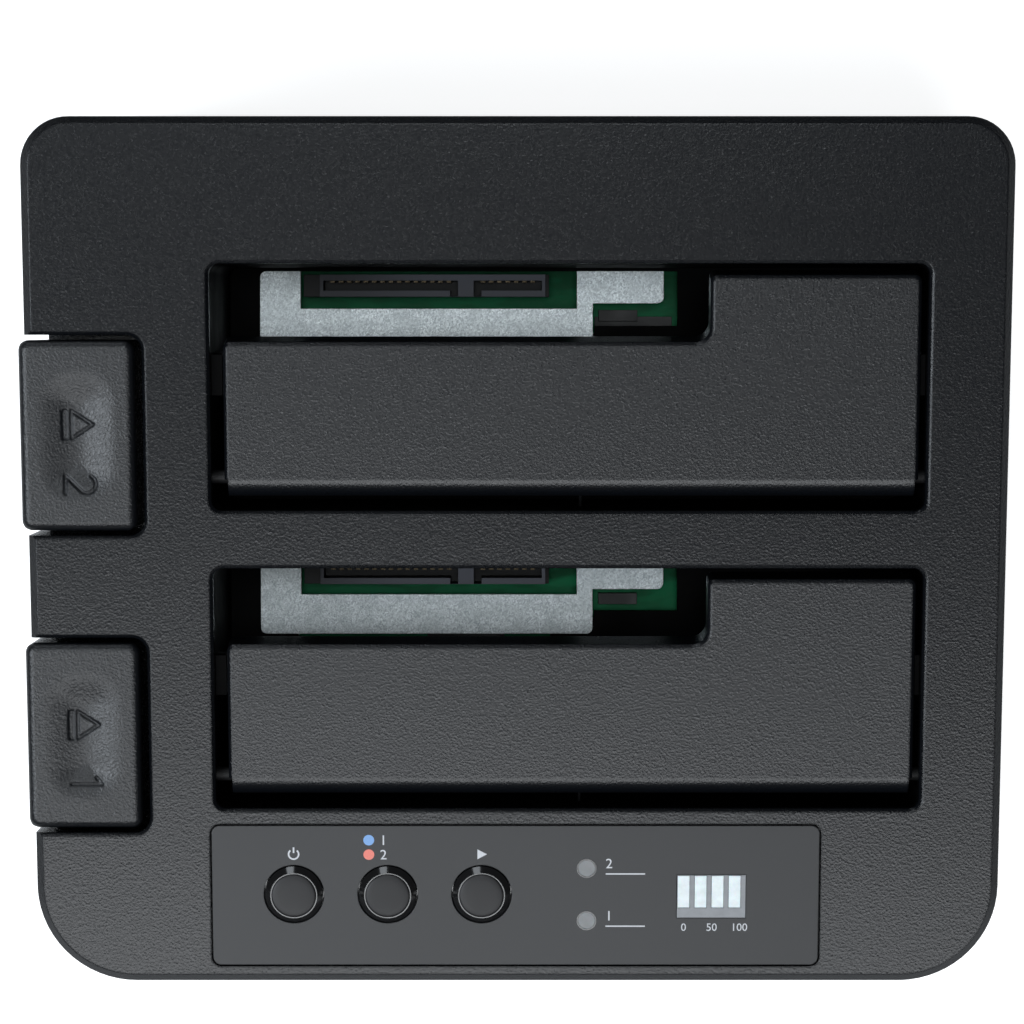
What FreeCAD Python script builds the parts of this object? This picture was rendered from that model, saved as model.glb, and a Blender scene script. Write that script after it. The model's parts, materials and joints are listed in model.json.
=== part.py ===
import FreeCAD, Part
import math
import os
import Sketcher
from types import SimpleNamespace

os.makedirs("parts", exist_ok=True)
doc = FreeCAD.newDocument("drive_duplicator")

# A two-bay docking station that stands on its base, with a top that slopes down to the front.
# +Z is up, +Y is the rear with the ports, and the eject buttons are on the -X side.
# Driving dimensions in mm and degrees.
SIZES = {
    # housing
    "shell_width": 141.5,
    "shell_depth": 126.5,
    "shell_height": 64.0,
    "top_slope": 8.76,
    "shell_wall": 2.2,
    "rear_corner": 6.9,
    "front_corner": 14.4,
    "rim_bevel": 1.1,
    "foot_standout": 1.5,
    "parting_height": 6.6,
    "tray_floor": 2.0,
    "tray_bevel": 0.8,
    "lip_rise": 1.4,
    "lip_thickness": 1.2,
    "lip_gap": 0.15,
    # drive bays, numbered from the front; the rear end of the rear one is counted from the rear edge
    "bay_width": 103.0,
    "bay_depth": 35.6,
    "bay_pitch": 44.0,
    "bay_middle_x": 7.3,
    "bay_rear_y": 20.8,
    "bay_corner": 1.5,
    "bay_rim": 0.5,
    "frame_wall": 1.6,
    "frame_gap": 0.1,
    "frame_floor": 1.6,
    "frame_floor_top": 15.2,
    # board and connectors; the board's sides are counted from the housing's edges
    "board_bottom": 7.0,
    "board_thickness": 1.6,
    "board_left": 22.75,
    "board_right": 14.75,
    "board_front": 25.25,
    "board_rear": 6.25,
    "standoff_size": 5.0,
    "standoff_inset": 4.0,
    "socket_height": 11.4,
    "socket_depth": 3.4,
    "socket_rear_gap": 1.05,
    "socket_left": -30.2,
    "socket_end": 0.55,
    "power_slot": 20.57,
    "slot_divider": 2.41,
    "signal_slot": 10.41,
    "slot_opening": 1.5,
    "slot_sink": 6.0,
    "slot_key": 0.9,
    "key_length": 1.2,
    "socket_post": 2.5,
    "socket_foot": 1.2,
    "contact_pitch": 1.27,
    "contact_width": 0.7,
    "contact_stand": 0.3,
    # ejector plate round each socket
    "plate_thickness": 1.2,
    "plate_left": -39.55,
    "plate_right": 22.5,
    "plate_rear_gap": 0.5,
    "plate_depth": 12.35,
    "plate_corner": 1.0,
    "cutout_left": -33.3,
    "cutout_right": 9.15,
    "cutout_depth": 6.25,
    "arm_depth": 5.45,
    "notch_left": 11.6,
    "tab_width": 4.6,
    "tab_length": 6.0,
    "tab_inset": 0.8,
    "guide_gap": 0.08,
    "guide_wall": 1.0,
    "boss_drop": 3.0,
    "window_right": 24.7,
    "window_depth": 14.5,
    "window_step": 8.9,
    # eject buttons
    "button_standout": 0.85,
    "button_inset": 15.75,
    "button_length": 27.5,
    "button_side_gap": 1.1,
    "button_end_gap": 0.75,
    "button_offset_y": -6.9,
    "button_skirt": 22.0,
    "button_wall": 1.8,
    "button_roof": 4.0,
    "button_bevel": 0.9,
    "button_corner": 1.5,
    "dish_length": 19.3,
    "dish_width": 11.7,
    "dish_corner": 5.0,
    "dish_side": 3.3,
    "dish_sink": 0.8,
    "eject_travel": 4.5,
    "pocket_margin": 0.6,
    "stem_inset": 9.6,
    "stem_size": 4.4,
    "stem_gap": 0.3,
    "hook_width": 6.8,
    "hook_height": 1.2,
    "eject_wire": 1.0,
    "eject_coil": 8.4,
    # eject levers
    "lever_pivot_x": -42.8,
    "lever_pivot_z": 11.0,
    "lever_reach": 12.8,
    "lever_hub": 3.6,
    "lever_pin": 2.0,
    "pin_gap": 0.05,
    "lever_arm": 3.4,
    "lever_bar": 1.6,
    "lever_rise": 1.5,
    "lever_tip": 2.4,
    "lever_tip_offset": 9.3,
    "hub_margin": 0.5,
    "ear_wall": 1.7,
    "ear_width": 4.0,
    "lift_gap": 0.3,
    # spring flaps
    "flap_left_gap": 1.9,
    "flap_right_gap": 1.0,
    "flap_rear_gap": 1.7,
    "flap_sink": 0.6,
    "hinge_inset": 4.9,
    "nose_radius": 2.8,
    "flap_skin": 2.0,
    "flap_rim": 1.6,
    "flap_rib": 1.2,
    "flap_bevel": 0.5,
    "flap_corner": 1.0,
    "step_corner": 2.2,
    "notch_width": 69.9,
    "notch_depth": 9.7,
    "rod_diameter": 2.0,
    "rod_gap": 0.06,
    "spring_room": 8.0,
    "spring_length": 5.6,
    "spring_bore": 2.05,
    "spring_wire": 0.5,
    "spring_coil": 3.0,
    "spring_leg": 7.0,
    "leg_width": 0.4,
    "spring_angle": 14.0,
    "stop_width": 6.0,
    "stop_height": 1.2,
    "stop_clearance": 0.3,
    # control panel, in the slope of the top; its middle is counted from the front edge
    "panel_width": 89.2,
    "panel_length": 21.25,
    "panel_middle_x": -0.3,
    "panel_middle_y": 13.05,
    "panel_thickness": 2.0,
    "panel_corner": 1.2,
    "panel_gap": 0.25,
    "panel_ledge": 1.6,
    "key_first_x": -32.6,
    "key_pitch": 13.8,
    "key_y": 0.2,
    "key_hole": 8.9,
    "key_body": 8.5,
    "key_cap": 6.9,
    "key_rise": 0.8,
    "key_flange": 9.8,
    "key_flange_height": 1.0,
    "key_travel": 0.5,
    "key_seat_gap": 0.15,
    "switch_size": 6.0,
    "plunger_size": 3.0,
    "plunger_height": 1.9,
    "panel_board_sink": 9.0,
    "panel_board_thickness": 1.2,
    "panel_board_margin": 3.0,
    "post_inset": 2.0,
    "post_size": 3.5,
    "lens_x": 10.45,
    "lens_pitch": 8.0,
    "lens_diameter": 2.5,
    "lens_y": 0.15,
    "lamp_size": 2.0,
    "lamp_height": 1.1,
    "display_x": 28.8,
    "display_y": -0.15,
    "display_width": 10.1,
    "display_length": 6.5,
    "bar_width": 1.75,
    "bar_pitch": 2.5,
    "bar_length": 4.85,
    "bar_height": 0.6,
    "bar_margin": 0.1,
    # ports in the rear wall; the jack's middle is counted from the right side
    "jack_x": 26.75,
    "jack_width": 9.2,
    "jack_height": 11.0,
    "jack_depth": 14.0,
    "jack_mouth": 6.4,
    "jack_pin": 2.0,
    "jack_top_wall": 1.2,
    "usb_x": 18.0,
    "usb_width": 12.0,
    "usb_height": 11.0,
    "usb_depth": 16.0,
    "usb_tongue_width": 5.6,
    "usb_tongue_height": 3.2,
    "esata_x": -8.0,
    "esata_width": 15.6,
    "esata_height": 6.8,
    "esata_depth": 14.0,
    "esata_tongue_width": 9.4,
    "esata_tongue_height": 1.7,
    "port_wall": 0.6,
    "port_bevel": 0.6,
    "port_block": 5.0,
    "port_gap": 0.3,
    "port_recess": 0.3,
    # feet and parts on the boards; the middles of the feet are counted from the housing's edges
    "foot_gap": 0.15,
    "fit_gap": 0.05,
    "foot_size": 11.0,
    "foot_front_x": 13.75,
    "foot_front_y": 13.25,
    "foot_rear_x": 10.75,
    "foot_rear_y": 10.25,
    "foot_height": 2.5,
    "chip_size": 12.0,
    "chip_height": 1.2,
}


class Size:
    """A driving dimension or a sum made of them: its value and the expression that ties it to the sheet."""

    def __init__(self, value, text):
        self.value = value
        self.text = text

    def __float__(self):
        return self.value

    def __neg__(self):
        return Size(-self.value, f"-({self.text})")

    def __add__(self, other):
        return Size(self.value + float(other), f"({self.text} + {as_size(other).text})")

    def __radd__(self, other):
        return as_size(other) + self

    def __sub__(self, other):
        return Size(self.value - float(other), f"({self.text} - {as_size(other).text})")

    def __rsub__(self, other):
        return as_size(other) - self

    def __mul__(self, other):
        return Size(self.value * float(other), f"({self.text} * {as_size(other).text})")

    def __rmul__(self, other):
        return as_size(other) * self

    def __truediv__(self, other):
        return Size(self.value / float(other), f"({self.text} / {as_size(other).text})")


def as_size(number):
    return number if isinstance(number, Size) else Size(float(number), f"{float(number):.9g}")


def tangent(angle):
    return Size(math.tan(math.radians(angle.value)), f"tan({angle.text})")


def sine(angle):
    return Size(math.sin(math.radians(angle.value)), f"sin({angle.text})")


def cosine(angle):
    return Size(math.cos(math.radians(angle.value)), f"cos({angle.text})")


def fill_sheet():
    sheet = doc.addObject("Spreadsheet::Sheet", "Sizes")
    for row, (alias, value) in enumerate(SIZES.items(), start=1):
        sheet.set(f"A{row}", alias)
        sheet.set(f"B{row}", str(value))
        sheet.setAlias(f"B{row}", alias)
    doc.recompute()


fill_sheet()
S = SimpleNamespace(**{alias: Size(value, f"Sizes.{alias}") for alias, value in SIZES.items()})

# Places worked out from the driving dimensions.
ZERO = as_size(0)
SPARE = 1.0
SAME = 0.01
BAYS = (1, 2)
FLAP_CELLS = 5
SPRING_CELL = 3
LIGHT_BARS = 4
KEYS = 3
POWER_CONTACTS = 15
DATA_CONTACTS = 7
SLEEVE_SIDES = 16
SHIFT_X = S.button_standout / 2
SHELL_RIGHT = S.shell_width / 2
SHELL_LEFT = -SHELL_RIGHT
SHELL_REAR = S.shell_depth / 2
SHELL_FRONT = -SHELL_REAR
PANEL_Y = SHELL_FRONT + S.panel_middle_y
SLOPE_TAN = tangent(S.top_slope)
SLOPE_SIN = sine(S.top_slope)
SLOPE_COS = cosine(S.top_slope)
ROOF = S.shell_wall / SLOPE_COS
TRAY_TOP = S.foot_standout + S.tray_floor
BOARD_TOP = S.board_bottom + S.board_thickness
BOARD_LEFT = SHELL_LEFT + S.board_left
BOARD_RIGHT = SHELL_RIGHT - S.board_right
BOARD_FRONT = SHELL_FRONT + S.board_front
BOARD_REAR = SHELL_REAR - S.board_rear
JACK_X = SHELL_RIGHT - S.jack_x
BAY_LEFT = S.bay_middle_x - S.bay_width / 2
SOCKET_TOP = BOARD_TOP + S.socket_height
FLOOR_BOTTOM = S.frame_floor_top - S.frame_floor
FLAP_WIDTH = S.bay_width - S.flap_left_gap - S.flap_right_gap
FLAP_LENGTH = (S.bay_depth - S.hinge_inset - S.flap_rear_gap + S.nose_radius * SLOPE_SIN) / SLOPE_COS
FLAP_SHORT = FLAP_LENGTH - S.notch_depth
BUTTON_LEFT = SHELL_LEFT - S.button_standout
BUTTON_RIGHT = SHELL_LEFT + S.button_inset
POCKET_RIGHT = BUTTON_RIGHT + S.button_side_gap
STEM_X = BUTTON_LEFT + S.stem_inset
LEVER_OUTER = S.lever_pivot_x - STEM_X
PORT_FACE = SHELL_REAR - S.port_recess
FEET = ((SHELL_LEFT + S.foot_front_x, SHELL_FRONT + S.foot_front_y),
        (SHELL_RIGHT - S.foot_front_x, SHELL_FRONT + S.foot_front_y),
        (SHELL_LEFT + S.foot_rear_x, SHELL_REAR - S.foot_rear_y),
        (SHELL_RIGHT - S.foot_rear_x, SHELL_REAR - S.foot_rear_y))


def top_at(y):
    """Height of the sloping top at a place along the depth."""
    return S.shell_height - (SHELL_REAR - y) * SLOPE_TAN


def bay_rear(bay):
    return SHELL_REAR - S.bay_rear_y - (2 - bay) * S.bay_pitch


def bay_front(bay):
    return bay_rear(bay) - S.bay_depth


def button_y(bay):
    return bay_rear(bay) - S.bay_depth / 2 + S.button_offset_y


def recess_front(bay):
    return button_y(bay) - S.button_length / 2 - S.button_end_gap


def recess_rear(bay):
    return button_y(bay) + S.button_length / 2 + S.button_end_gap


def button_bottom(bay):
    return top_at(recess_front(bay)) - S.button_skirt


def pocket_floor(bay):
    return button_bottom(bay) - S.eject_travel - S.pocket_margin


def hinge_y(bay):
    return bay_front(bay) + S.hinge_inset


def hinge_z(bay):
    return top_at(hinge_y(bay)) - (S.flap_sink + S.nose_radius) / SLOPE_COS


# Helpers for parametric objects.
def bind(item, prop, size):
    item.setExpression(prop, as_size(size).text)


def place(item, x=ZERO, y=ZERO, z=ZERO, tilt=None):
    """Puts an object at x, y, z, turned by tilt degrees about X where a tilt is given."""
    spot = FreeCAD.Vector(float(x), float(y), float(z))
    angle = 0 if tilt is None else float(tilt)
    item.Placement = FreeCAD.Placement(spot, FreeCAD.Rotation(FreeCAD.Vector(1, 0, 0), angle))
    bind(item, "Placement.Base.x", x)
    bind(item, "Placement.Base.y", y)
    bind(item, "Placement.Base.z", z)
    if tilt is not None:
        bind(item, "Placement.Rotation.Angle", tilt)
    return item


def new_body(label):
    body = doc.addObject("PartDesign::Body", label)
    body.Label = label
    return body


def sketch_on(body, plane, offset=ZERO):
    sketch = body.newObject("Sketcher::SketchObject", body.Label + "_sketch")
    support = [item for item in body.Origin.OriginFeatures if item.Role == plane][0]
    sketch.AttachmentSupport = (support, [""])
    sketch.MapMode = "FlatFace"
    bind(sketch, "AttachmentOffset.Base.z", offset)
    return sketch


def pin_point(sketch, kind, line, size, point=1):
    index = sketch.addConstraint(Sketcher.Constraint(kind, -1, 1, line, point, float(size)))
    sketch.setExpression(f"Constraints[{index}]", as_size(size).text)


def polygon(sketch, corners):
    first = sketch.GeometryCount
    points = [FreeCAD.Vector(float(x), float(y), 0) for x, y in corners]
    for here, there in zip(points, points[1:] + points[:1]):
        sketch.addGeometry(Part.LineSegment(here, there))
    for number, (x, y) in enumerate(corners):
        line = first + number
        following = first + (number + 1) % len(corners)
        sketch.addConstraint(Sketcher.Constraint("Coincident", line, 2, following, 1))
        pin_point(sketch, "DistanceX", line, x)
        pin_point(sketch, "DistanceY", line, y)
    return sketch


def rectangle(sketch, x0, x1, y0, y1):
    return polygon(sketch, [(x0, y0), (x1, y0), (x1, y1), (x0, y1)])


def square(sketch, x, y, size):
    return rectangle(sketch, x - size / 2, x + size / 2, y - size / 2, y + size / 2)


def circle(sketch, x, y, radius):
    centre = FreeCAD.Vector(float(x), float(y), 0)
    index = sketch.addGeometry(Part.Circle(centre, FreeCAD.Vector(0, 0, 1), float(radius)))
    pin_point(sketch, "DistanceX", index, x, 3)
    pin_point(sketch, "DistanceY", index, y, 3)
    bound = sketch.addConstraint(Sketcher.Constraint("Radius", index, float(radius)))
    sketch.setExpression(f"Constraints[{bound}]", as_size(radius).text)
    return sketch


def pad(body, sketch, length):
    feature = body.newObject("PartDesign::Pad", body.Label + "_pad")
    feature.Profile = sketch
    bind(feature, "Length", length)
    return feature


def pocket(body, sketch, length=None, upward=False):
    """Cuts along the sketch's normal, away from it by default, right through where no length is given."""
    feature = body.newObject("PartDesign::Pocket", body.Label + "_pocket")
    feature.Profile = sketch
    feature.Reversed = upward
    if length is None:
        feature.Type = "ThroughAll"
    else:
        bind(feature, "Length", length)
    return feature


def round_edges(body, radius, test):
    """Fillets every edge of the body that passes the test."""
    doc.recompute()
    base = body.Tip
    names = [f"Edge{i}" for i, edge in enumerate(base.Shape.Edges, start=1) if test(edge)]
    feature = body.newObject("PartDesign::Fillet", body.Label + "_fillet")
    feature.Base = (base, names)
    bind(feature, "Radius", radius)
    return feature


def bevel_edges(body, size, test):
    """Chamfers every edge of the body that passes the test."""
    doc.recompute()
    base = body.Tip
    names = [f"Edge{i}" for i, edge in enumerate(base.Shape.Edges, start=1) if test(edge)]
    feature = body.newObject("PartDesign::Chamfer", body.Label + "_chamfer")
    feature.Base = (base, names)
    bind(feature, "Size", size)
    return feature


def near(a, b):
    return abs(float(a) - float(b)) < SAME


def is_upright(edge):
    start, end = edge.Vertexes[0].Point, edge.Vertexes[-1].Point
    return near(start.x, end.x) and near(start.y, end.y) and not near(start.z, end.z)


def upright_at(places):
    """A test for the vertical edges that stand at the given places."""
    def test(edge):
        point = edge.Vertexes[0].Point
        return is_upright(edge) and any(near(point.x, x) and near(point.y, y) for x, y in places)
    return test


def slope_cut(body, height_at, low_y, high_y, right_x):
    """Cuts everything above a sloping plane, which height_at gives along the depth."""
    high = height_at(high_y) + S.shell_height
    corners = [(low_y, height_at(low_y)), (high_y, height_at(high_y)), (high_y, high), (low_y, high)]
    pocket(body, polygon(sketch_on(body, "YZ_Plane", right_x), corners))


def box(label, x0, x1, y0, y1, z0, z1):
    item = doc.addObject("Part::Box", label)
    item.Label = label
    bind(item, "Length", x1 - x0)
    bind(item, "Width", y1 - y0)
    bind(item, "Height", z1 - z0)
    return place(item, x0, y0, z0)


def cylinder(label, x, y, z0, z1, diameter):
    item = doc.addObject("Part::Cylinder", label)
    item.Label = label
    bind(item, "Radius", diameter / 2)
    bind(item, "Height", z1 - z0)
    return place(item, x, y, z0)


def cross_cylinder(label, x, y0, y1, z, diameter):
    """A cylinder along Y."""
    item = cylinder(label, x, y1, z, z + (y1 - y0), diameter)
    return place(item, x, y1, z, as_size(90))


def fuse(label, items):
    item = doc.addObject("Part::MultiFuse", label)
    item.Label = label
    item.Shapes = items
    return item


def cut(label, base, tool):
    item = doc.addObject("Part::Cut", label)
    item.Label = label
    item.Base = base
    item.Tool = tool
    return item


def group(label, items):
    """Several separate solids as one sub-part."""
    item = doc.addObject("Part::Compound", label)
    item.Label = label
    item.Links = items
    return item


def in_slope(item, x=ZERO, y=ZERO, z=ZERO):
    """Tilts an object that was made flat, with its top face at zero, into the cover's slope at the panel."""
    across = S.panel_middle_x + x
    along = PANEL_Y + y * SLOPE_COS - z * SLOPE_SIN
    up = top_at(PANEL_Y) + y * SLOPE_SIN + z * SLOPE_COS
    return place(item, across, along, up, S.top_slope)


def on_panel(item, x=ZERO, y=ZERO, z=ZERO):
    """The same for the panel's own pieces, which stand in the part's frame."""
    return in_slope(item, SHIFT_X + x, y, z)


# The housing: a moulded cover with a sloping top on a flat tray.
def outline(sketch, inset):
    """The housing's outline with its round corners, moved in by inset."""
    left, right = SHELL_LEFT + inset, SHELL_RIGHT - inset
    front, rear = SHELL_FRONT + inset, SHELL_REAR - inset
    wide, tight = S.front_corner - inset, S.rear_corner - inset
    ends = [((left + wide, front), (right - wide, front)), ((right, front + wide), (right, rear - tight)),
            ((right - tight, rear), (left + tight, rear)), ((left, rear - tight), (left, front + wide))]
    for (x0, y0), (x1, y1) in ends:
        start, end = FreeCAD.Vector(float(x0), float(y0), 0), FreeCAD.Vector(float(x1), float(y1), 0)
        sketch.addGeometry(Part.LineSegment(start, end))
    centres = [(right - wide, front + wide, wide), (right - tight, rear - tight, tight),
               (left + tight, rear - tight, tight), (left + wide, front + wide, wide)]
    for number, (x, y, radius) in enumerate(centres):
        ring = Part.Circle(FreeCAD.Vector(float(x), float(y), 0), FreeCAD.Vector(0, 0, 1), float(radius))
        turn = math.pi / 2
        arc = sketch.addGeometry(Part.ArcOfCircle(ring, turn * (number - 1), turn * number))
        sketch.addConstraint(Sketcher.Constraint("Tangent", number, 2, arc, 1))
        sketch.addConstraint(Sketcher.Constraint("Tangent", arc, 2, (number + 1) % 4, 1))
        bound = sketch.addConstraint(Sketcher.Constraint("Radius", arc, float(radius)))
        sketch.setExpression(f"Constraints[{bound}]", radius.text)
    for line, kind in enumerate(("Horizontal", "Vertical", "Horizontal", "Vertical")):
        sketch.addConstraint(Sketcher.Constraint(kind, line))
    pin_point(sketch, "DistanceY", 0, front)
    pin_point(sketch, "DistanceX", 1, right)
    pin_point(sketch, "DistanceY", 2, rear)
    pin_point(sketch, "DistanceX", 3, left)
    return sketch


def cover_skin():
    """The cover before it is hollowed, with the bay openings and the recesses of the eject buttons."""
    body = new_body("cover_skin")
    pad(body, outline(sketch_on(body, "XY_Plane", S.parting_height), ZERO),
        S.shell_height + SPARE - S.parting_height)
    slope_cut(body, top_at, SHELL_FRONT - SPARE, SHELL_REAR + SPARE, SHELL_RIGHT + SPARE)

    def is_rim(edge):
        ends = [vertex.Point for vertex in edge.Vertexes]
        return all(near(point.z, top_at(point.y)) for point in ends)

    bevel_edges(body, S.rim_bevel, is_rim)
    above = S.shell_height + SPARE
    wells = []
    recesses = []
    for bay in BAYS:
        well = (BAY_LEFT, BAY_LEFT + S.bay_width, bay_front(bay), bay_rear(bay))
        wells += [(well[0], well[2]), (well[1], well[2]), (well[1], well[3]), (well[0], well[3])]
        pocket(body, rectangle(sketch_on(body, "XY_Plane", above), *well), above - S.frame_floor_top)
        recess = (BUTTON_LEFT - SPARE, POCKET_RIGHT, recess_front(bay), recess_rear(bay))
        recesses += [(recess[1], recess[2]), (recess[1], recess[3])]
        pocket(body, rectangle(sketch_on(body, "XY_Plane", above), *recess), above - pocket_floor(bay))
    round_edges(body, S.bay_corner, upright_at(wells))
    round_edges(body, S.button_corner + S.button_end_gap, upright_at(recesses))

    def is_opening_rim(edge):
        points = [vertex.Point for vertex in edge.Vertexes]
        inside = all(point.x > float(SHELL_LEFT + S.rim_bevel) + SAME for point in points)
        clear = all(point.x < float(SHELL_RIGHT - 2 * S.rim_bevel) for point in points)
        clear = clear and all(abs(point.y) < float(SHELL_REAR - 2 * S.rim_bevel) for point in points)
        return inside and clear and all(near(point.z, top_at(point.y)) for point in points)

    bevel_edges(body, S.bay_rim, is_opening_rim)
    return body


def cover_islands():
    """What stays solid under the roof: the walls of the button pockets and the panel's seat."""
    items = []
    for bay in BAYS:
        items.append(box(f"pocket_block_{bay}", SHELL_LEFT, POCKET_RIGHT + S.frame_wall,
                         recess_front(bay) - S.frame_wall, recess_rear(bay) + S.frame_wall,
                         pocket_floor(bay) - S.frame_wall, S.shell_height))
    half_x = S.panel_width / 2 + S.panel_gap + S.shell_wall
    half_y = S.panel_length / 2 + S.panel_gap + S.shell_wall
    seat = box("panel_seat", -half_x, half_x, -half_y, half_y, ZERO, S.panel_thickness + S.panel_ledge)
    in_slope(seat, -half_x, -half_y, -(S.panel_thickness + S.panel_ledge))
    frame_front = bay_front(1) - S.frame_wall - S.frame_gap
    room = box("frame_room", BAY_LEFT - S.shell_wall, BAY_LEFT + S.bay_width + S.shell_wall,
               frame_front, ZERO, ZERO, top_at(ZERO))
    items.append(cut("panel_seat_front", seat, room))
    return fuse("cover_islands", items)


def cover_cavity():
    body = new_body("cover_cavity")
    bottom = S.parting_height - SPARE
    pad(body, outline(sketch_on(body, "XY_Plane", bottom), S.shell_wall), S.shell_height - bottom)
    slope_cut(body, lambda y: top_at(y) - ROOF, SHELL_FRONT, SHELL_REAR, SHELL_RIGHT)
    return body


def panel_recess(label, inset, depth):
    """A recess for the control panel or the window under it, sunk below the slope of the top."""
    body = new_body(label)
    half_x = S.panel_width / 2 + S.panel_gap - inset
    half_y = S.panel_length / 2 + S.panel_gap - inset
    pad(body, rectangle(sketch_on(body, "XY_Plane", -depth), -half_x, half_x, -half_y, half_y), depth + SPARE)
    if inset is ZERO:
        round_edges(body, S.panel_corner + S.panel_gap, is_upright)
    return in_slope(body)


def port_cuts():
    ports = ((JACK_X, S.jack_width, S.jack_height), (S.usb_x, S.usb_width, S.usb_height),
             (S.esata_x, S.esata_width, S.esata_height))
    return [box(f"port_cut_{number}", x - width / 2 - S.port_gap, x + width / 2 + S.port_gap,
                SHELL_REAR - S.shell_wall - SPARE, SHELL_REAR + SPARE,
                BOARD_TOP - S.port_gap, BOARD_TOP + height + S.port_gap)
            for number, (x, width, height) in enumerate(ports, start=1)]


def top_cover():
    hollow = cut("cover_hollow", cover_cavity(), cover_islands())
    shell = cut("cover_shell", cover_skin(), hollow)
    tools = port_cuts()
    for bay in BAYS:
        reach = S.stem_size / 2 + S.stem_gap
        y, floor = button_y(bay), pocket_floor(bay)
        tools.append(box(f"stem_hole_{bay}", STEM_X - reach, STEM_X + reach, y - reach, y + reach,
                         floor - 2 * S.frame_wall, floor + SPARE))
    tools.append(panel_recess("panel_seat_cut", ZERO, S.panel_thickness))
    tools.append(panel_recess("panel_window_cut", S.panel_ledge, S.panel_thickness + 2 * S.panel_ledge))
    return place(cut("top_cover", shell, fuse("cover_tools", tools)), SHIFT_X)


def base_tray():
    """A flat tray with a lip inside the cover, posts for the board and recesses for the feet."""
    body = new_body("base_tray")
    pad(body, outline(sketch_on(body, "XY_Plane", S.foot_standout), ZERO), S.parting_height - S.foot_standout)
    bevel_edges(body, S.tray_bevel, lambda edge: all(near(v.Z, S.foot_standout) for v in edge.Vertexes))
    lip = S.shell_wall + S.lip_gap
    pad(body, outline(sketch_on(body, "XY_Plane", TRAY_TOP), lip), S.parting_height + S.lip_rise - TRAY_TOP)
    inner = lip + S.lip_thickness
    pocket(body, outline(sketch_on(body, "XY_Plane", S.parting_height + S.lip_rise), inner),
           S.parting_height + S.lip_rise - TRAY_TOP)
    posts = sketch_on(body, "XY_Plane", TRAY_TOP)
    for x, y in standoff_places():
        square(posts, x, y, S.standoff_size)
    pad(body, posts, S.board_bottom - TRAY_TOP)
    recesses = sketch_on(body, "XY_Plane", ZERO)
    for x, y in FEET:
        square(recesses, x, y, S.foot_size + 2 * S.foot_gap)
    pocket(body, recesses, S.foot_height, upward=True)
    return place(body, SHIFT_X)


def feet():
    """Square feet, stuck into the tray's recesses."""
    half = S.foot_size / 2
    items = [box(f"foot_{number}", x - half + SHIFT_X, x + half + SHIFT_X, y - half, y + half,
                 ZERO, S.foot_height) for number, (x, y) in enumerate(FEET, start=1)]
    return group("rubber_feet", items)


# The frame of each drive bay, with the seats of its flap, ejector plate and lever.
def window_corners():
    """Outline of the floor's window round the socket, with a tongue for the plate's front tab."""
    left, rear = S.cutout_left - S.plate_rear_gap, -S.plate_rear_gap
    (tab_left, tab_right), (tab_front, tab_rear) = tab_room(1, S.guide_gap + S.guide_wall)
    return [(left, rear), (left, -S.window_depth), (tab_left, -S.window_depth), (tab_left, tab_rear),
            (tab_right, tab_rear), (tab_right, -S.window_step), (S.window_right, -S.window_step),
            (S.window_right, rear)]


def tab_room(number, gap):
    """Left and right, then front and rear of the plate's left tab and front tab, with a gap all round."""
    if number == 0:
        left, front = S.plate_left, -S.plate_rear_gap - S.tab_inset - S.tab_width
        width, depth = S.plate_thickness, S.tab_width
    else:
        left, front = S.notch_left - S.tab_inset - S.tab_width, -S.plate_depth
        width, depth = S.tab_width, S.plate_thickness
    return (left - gap, left + width + gap), (front - gap, front + depth + gap)


def lever_span():
    """Front and rear end of the lever's hub, from the bay's rear wall."""
    front = button_y(2) - bay_rear(2) - S.lever_arm / 2 - S.hub_margin
    rear = -S.lever_tip_offset + S.lever_arm / 2 + S.hub_margin
    return front, rear


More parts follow.
